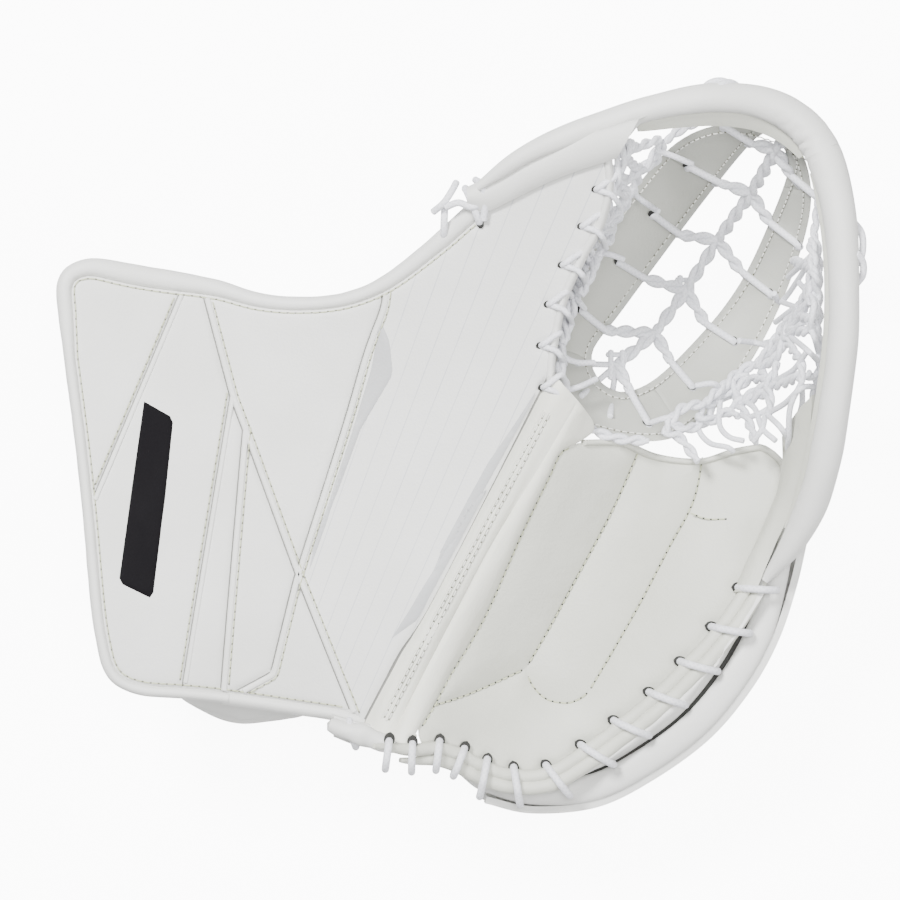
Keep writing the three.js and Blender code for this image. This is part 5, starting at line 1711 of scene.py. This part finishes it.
def wrist():
    """The padded sleeve of the wrist."""
    grid = loft([(-142, -104, 92), (-128, -106, 90), (-104, -108, 88), (-76, -112, 86), (-52, -116, 84)],
                [(-140, -96, 12.6), (-126, -98, 12.6), (-104, -98, 12.6), (-82, -98, 12.6), (-64, -94, 12.6)],
                90, 36, 25.0, 3.0, flat_ends=True)
    for row in (3, 13, 23, 32):
        dent = np.exp(-((np.arange(36) - row) / 1.2) ** 2)[None, :, None]
        grid = grid + np.array([0.0, 1.3, 0.0]) * dent
    shape = Shape()
    shape.shell(grid, 3.0)
    put(shape.object("cuff_side_leather", WHITE), ROOT, "leather_white", "cuff_side_gusset")
    wall_stitches(grid, (3, 13, 23, 32), "cuff_side_stitches", ROOT)
    outline = even(spline([(-152, -100), (-108, -101), (-64, -100), (-60, -60), (-62, -10), (-74, 6),
        (-106, 6.5),
                           (-138, 6), (-152, -10), (-153, -55), (-152, -100)]), 4.0)[:-1, :2]
    pad = pillow(outline, lambda x, y: 6.0 + 0 * x, 5.6, 7.0, 5.0)
    put(stuffed(pad.object("wrist_pad_leather", WHITE), 0.0018), ROOT, "leather_white",
        "wrist_pad")
    ring = np.vstack([outline, outline[:1]])
    piping = Shape()
    piping.sweep(np.column_stack([ring, np.full(len(ring), 6.0)]), 1.5, sides=12, up=(0, 0, 1))
    put(piping.object("wrist_pad_piping", WHITE), ROOT, "leather_white")


def band(points, across, width, thickness):
    """A strip of webbing or leather with a soft edge, returned with the line along its middle."""
    path = spline(points, 2.0)
    shape = Shape()
    shape.sweep(path, width / 2, thickness / 2, sides=24, across=across, power=0.35)
    return shape, path


def straps():
    """The closing strap of the wrist with its ring and flap, and the strap over the hand."""
    x = -106

    def strip(name, points, body, material, slot, node, across=(1, 0, 0)):
        shape, path = band(points, across, 38, 2.4)
        put(shape.object(name, material), body, slot, node)
        sewing = Sewing(2.6, 4.0)
        side, lift = frames(tangents(path), across=across)
        for edge in (-16, 16):
            sewing.run(path + side * edge + lift * 1.22, lift)
            sewing.run(path + side * edge - lift * 1.22, -lift)
        for obj in sewing.objects(name + "_stitches", body, THREAD_WHITE):
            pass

    strip("strap_anchor_webbing", [(x, 64, 89), (x, 52, 88), (x, 40, 84), (x, 34, 74), (x, 33, 61.5)],
        ROOT, WEBBING,
          "webbing", "strap_anchor")
    strip("wrist_strap_webbing", [(x, 2, 14), (x, 12, 16), (x, 20, 26), (x, 24, 38), (x, 26, 47)], ROOT,
        WEBBING,
          "webbing", "wrist_strap")
    strip("strap_flap_leather", [(x, 37.8, 48), (x, 37, 38), (x, 33, 26), (x, 28, 15), (x, 22, 6)],
          "wrist_strap_flap", WHITE, "leather_white", "wrist_strap_flap")
    z = 19.6
    strip("hand_strap_webbing", [(-10, -128, z), (-8, -118, z + 6), (-4, -96, z + 12), (4, -70, z + 12),
                                 (12, -48, z + 6), (16, -38, z)], PALM, WEBBING, "webbing", "hand_strap",
          (0.95, -0.3, 0))
    ring = Shape()
    corners = [(x - 22, 33, 60.3), (x + 22, 33, 60.3), (x + 22, 33, 51.7), (x - 22, 33, 51.7)]
    for a, b in zip(corners, corners[1:] + corners[:1]):
        ring.sweep(even(np.array([a, b], float), 2.0), 1.6, sides=14)
    put(ring.object("strap_ring_plastic", PLASTIC), "strap_ring", "ring_plastic", "strap_ring")


def finger_lip():
    """The soft leather between the finger end of the palm and the rim."""
    top = resample(spline([(169, 30, 136), (168, 5, 124), (162, -20, 111), (152, -44, 102), (144, -64, 98)],
                          2.0), 50)
    low = resample(spline([(158, 10, 100), (158, -4, 99), (154, -22, 96), (143, -48, 93), (135, -66, 91)],
        2.0), 50)
    rows = []
    for s in np.linspace(0, 1, 12):
        p = top * (1 - s) + low * s
        p[:, 0] -= 1.8 * math.sin(math.pi * s)
        p[:, 2] += 1.5 * math.sin(math.pi * s)
        p += 0.5 * np.array([[noise.noise(Vector((y / 12, s * 3, 1))), 0, 0] for y in p[:, 1]])
        rows.append(p)
    shape = Shape()
    shape.shell(np.stack(rows, axis=1), 2.0)
    put(shape.object("finger_lip_leather", PALM_WHITE), PALM, "leather_palm", "finger_lip")


cuff_and_thumb()
cuff_edge()
appliques()
core()
thumb_edge()
bead()
thumb_flap()
spine()
thumb_net()
finger_net()
slot_lacing()
break_strips()
palm()
palm_rolls()
palm_laces()
heel_corner()
thumb_laces()
finger_wall()
finger_lip()
back_of_hand()
stalls()
thumb_back()
wrist()
straps()


# ---- Studio, in metres and watts ----
FLOOR_SIZE, FLOOR_GREY, FLOOR_DROP = 8, 0.6, 0.0005
FLOOR_GLOW, FLOOR_GLOW_SEEN = 0.5, 9.0   # the floor's light, and what is added where it is looked at
LAMPS = [                                # name, place, aim, width, power
    ("key", (-0.8, 1.0, 1.9), (0, 0, 0.1), 0.6, 112),
    ("fill", (1.2, -0.6, 1.6), (0, 0, 0.1), 1.2, 34),
    ("top", (0.1, 0.2, 2.5), (0, 0, 0), 0.8, 60),
]
AROUND = 0.25                            # light from all sides
SENSOR, LENS = 36, 166.7                 # millimetres
CAMERA = (-0.004, 0.0036, 2.11)


def lamp(name, place, aim, size, power):
    data = bpy.data.lights.new(name, "AREA")
    data.shape = "DISK"
    data.size, data.energy = size, power
    light = bpy.data.objects.new(name, data)
    light.location = place
    light.rotation_euler = (Vector(aim) - Vector(place)).to_track_quat("-Z", "Y").to_euler()
    bpy.context.collection.objects.link(light)


def studio():
    """A pale floor, soft light from above and the left, and a camera straight above the glove."""
    scene = bpy.context.scene
    bpy.ops.mesh.primitive_plane_add(size=FLOOR_SIZE, location=(0, 0, -FLOOR_DROP))
    floor = bpy.context.object
    floor.name = "floor"
    g = Graph("floor_paper")
    g.put(g.shader.inputs["Emission Color"], rgb(1, 1, 1))
    seen = g.node("ShaderNodeLightPath").outputs["Is Camera Ray"]
    g.put(g.shader.inputs["Emission Strength"], g.math("MULTIPLY_ADD", seen, FLOOR_GLOW_SEEN, FLOOR_GLOW))
    floor.data.materials.append(g.finish(rgb(FLOOR_GREY, FLOOR_GREY, FLOOR_GREY), 0.9))

    for values in LAMPS:
        lamp(*values)
    world = bpy.data.worlds.new("studio")
    world.use_nodes = True
    world.node_tree.nodes["Background"].inputs[0].default_value = (1, 1, 1, 1)
    world.node_tree.nodes["Background"].inputs[1].default_value = AROUND
    scene.world = world
    data = bpy.data.cameras.new("camera")
    data.sensor_width, data.lens = SENSOR, LENS
    camera = bpy.data.objects.new("camera", data)
    camera.location = CAMERA
    bpy.context.collection.objects.link(camera)
    scene.camera = camera


studio()
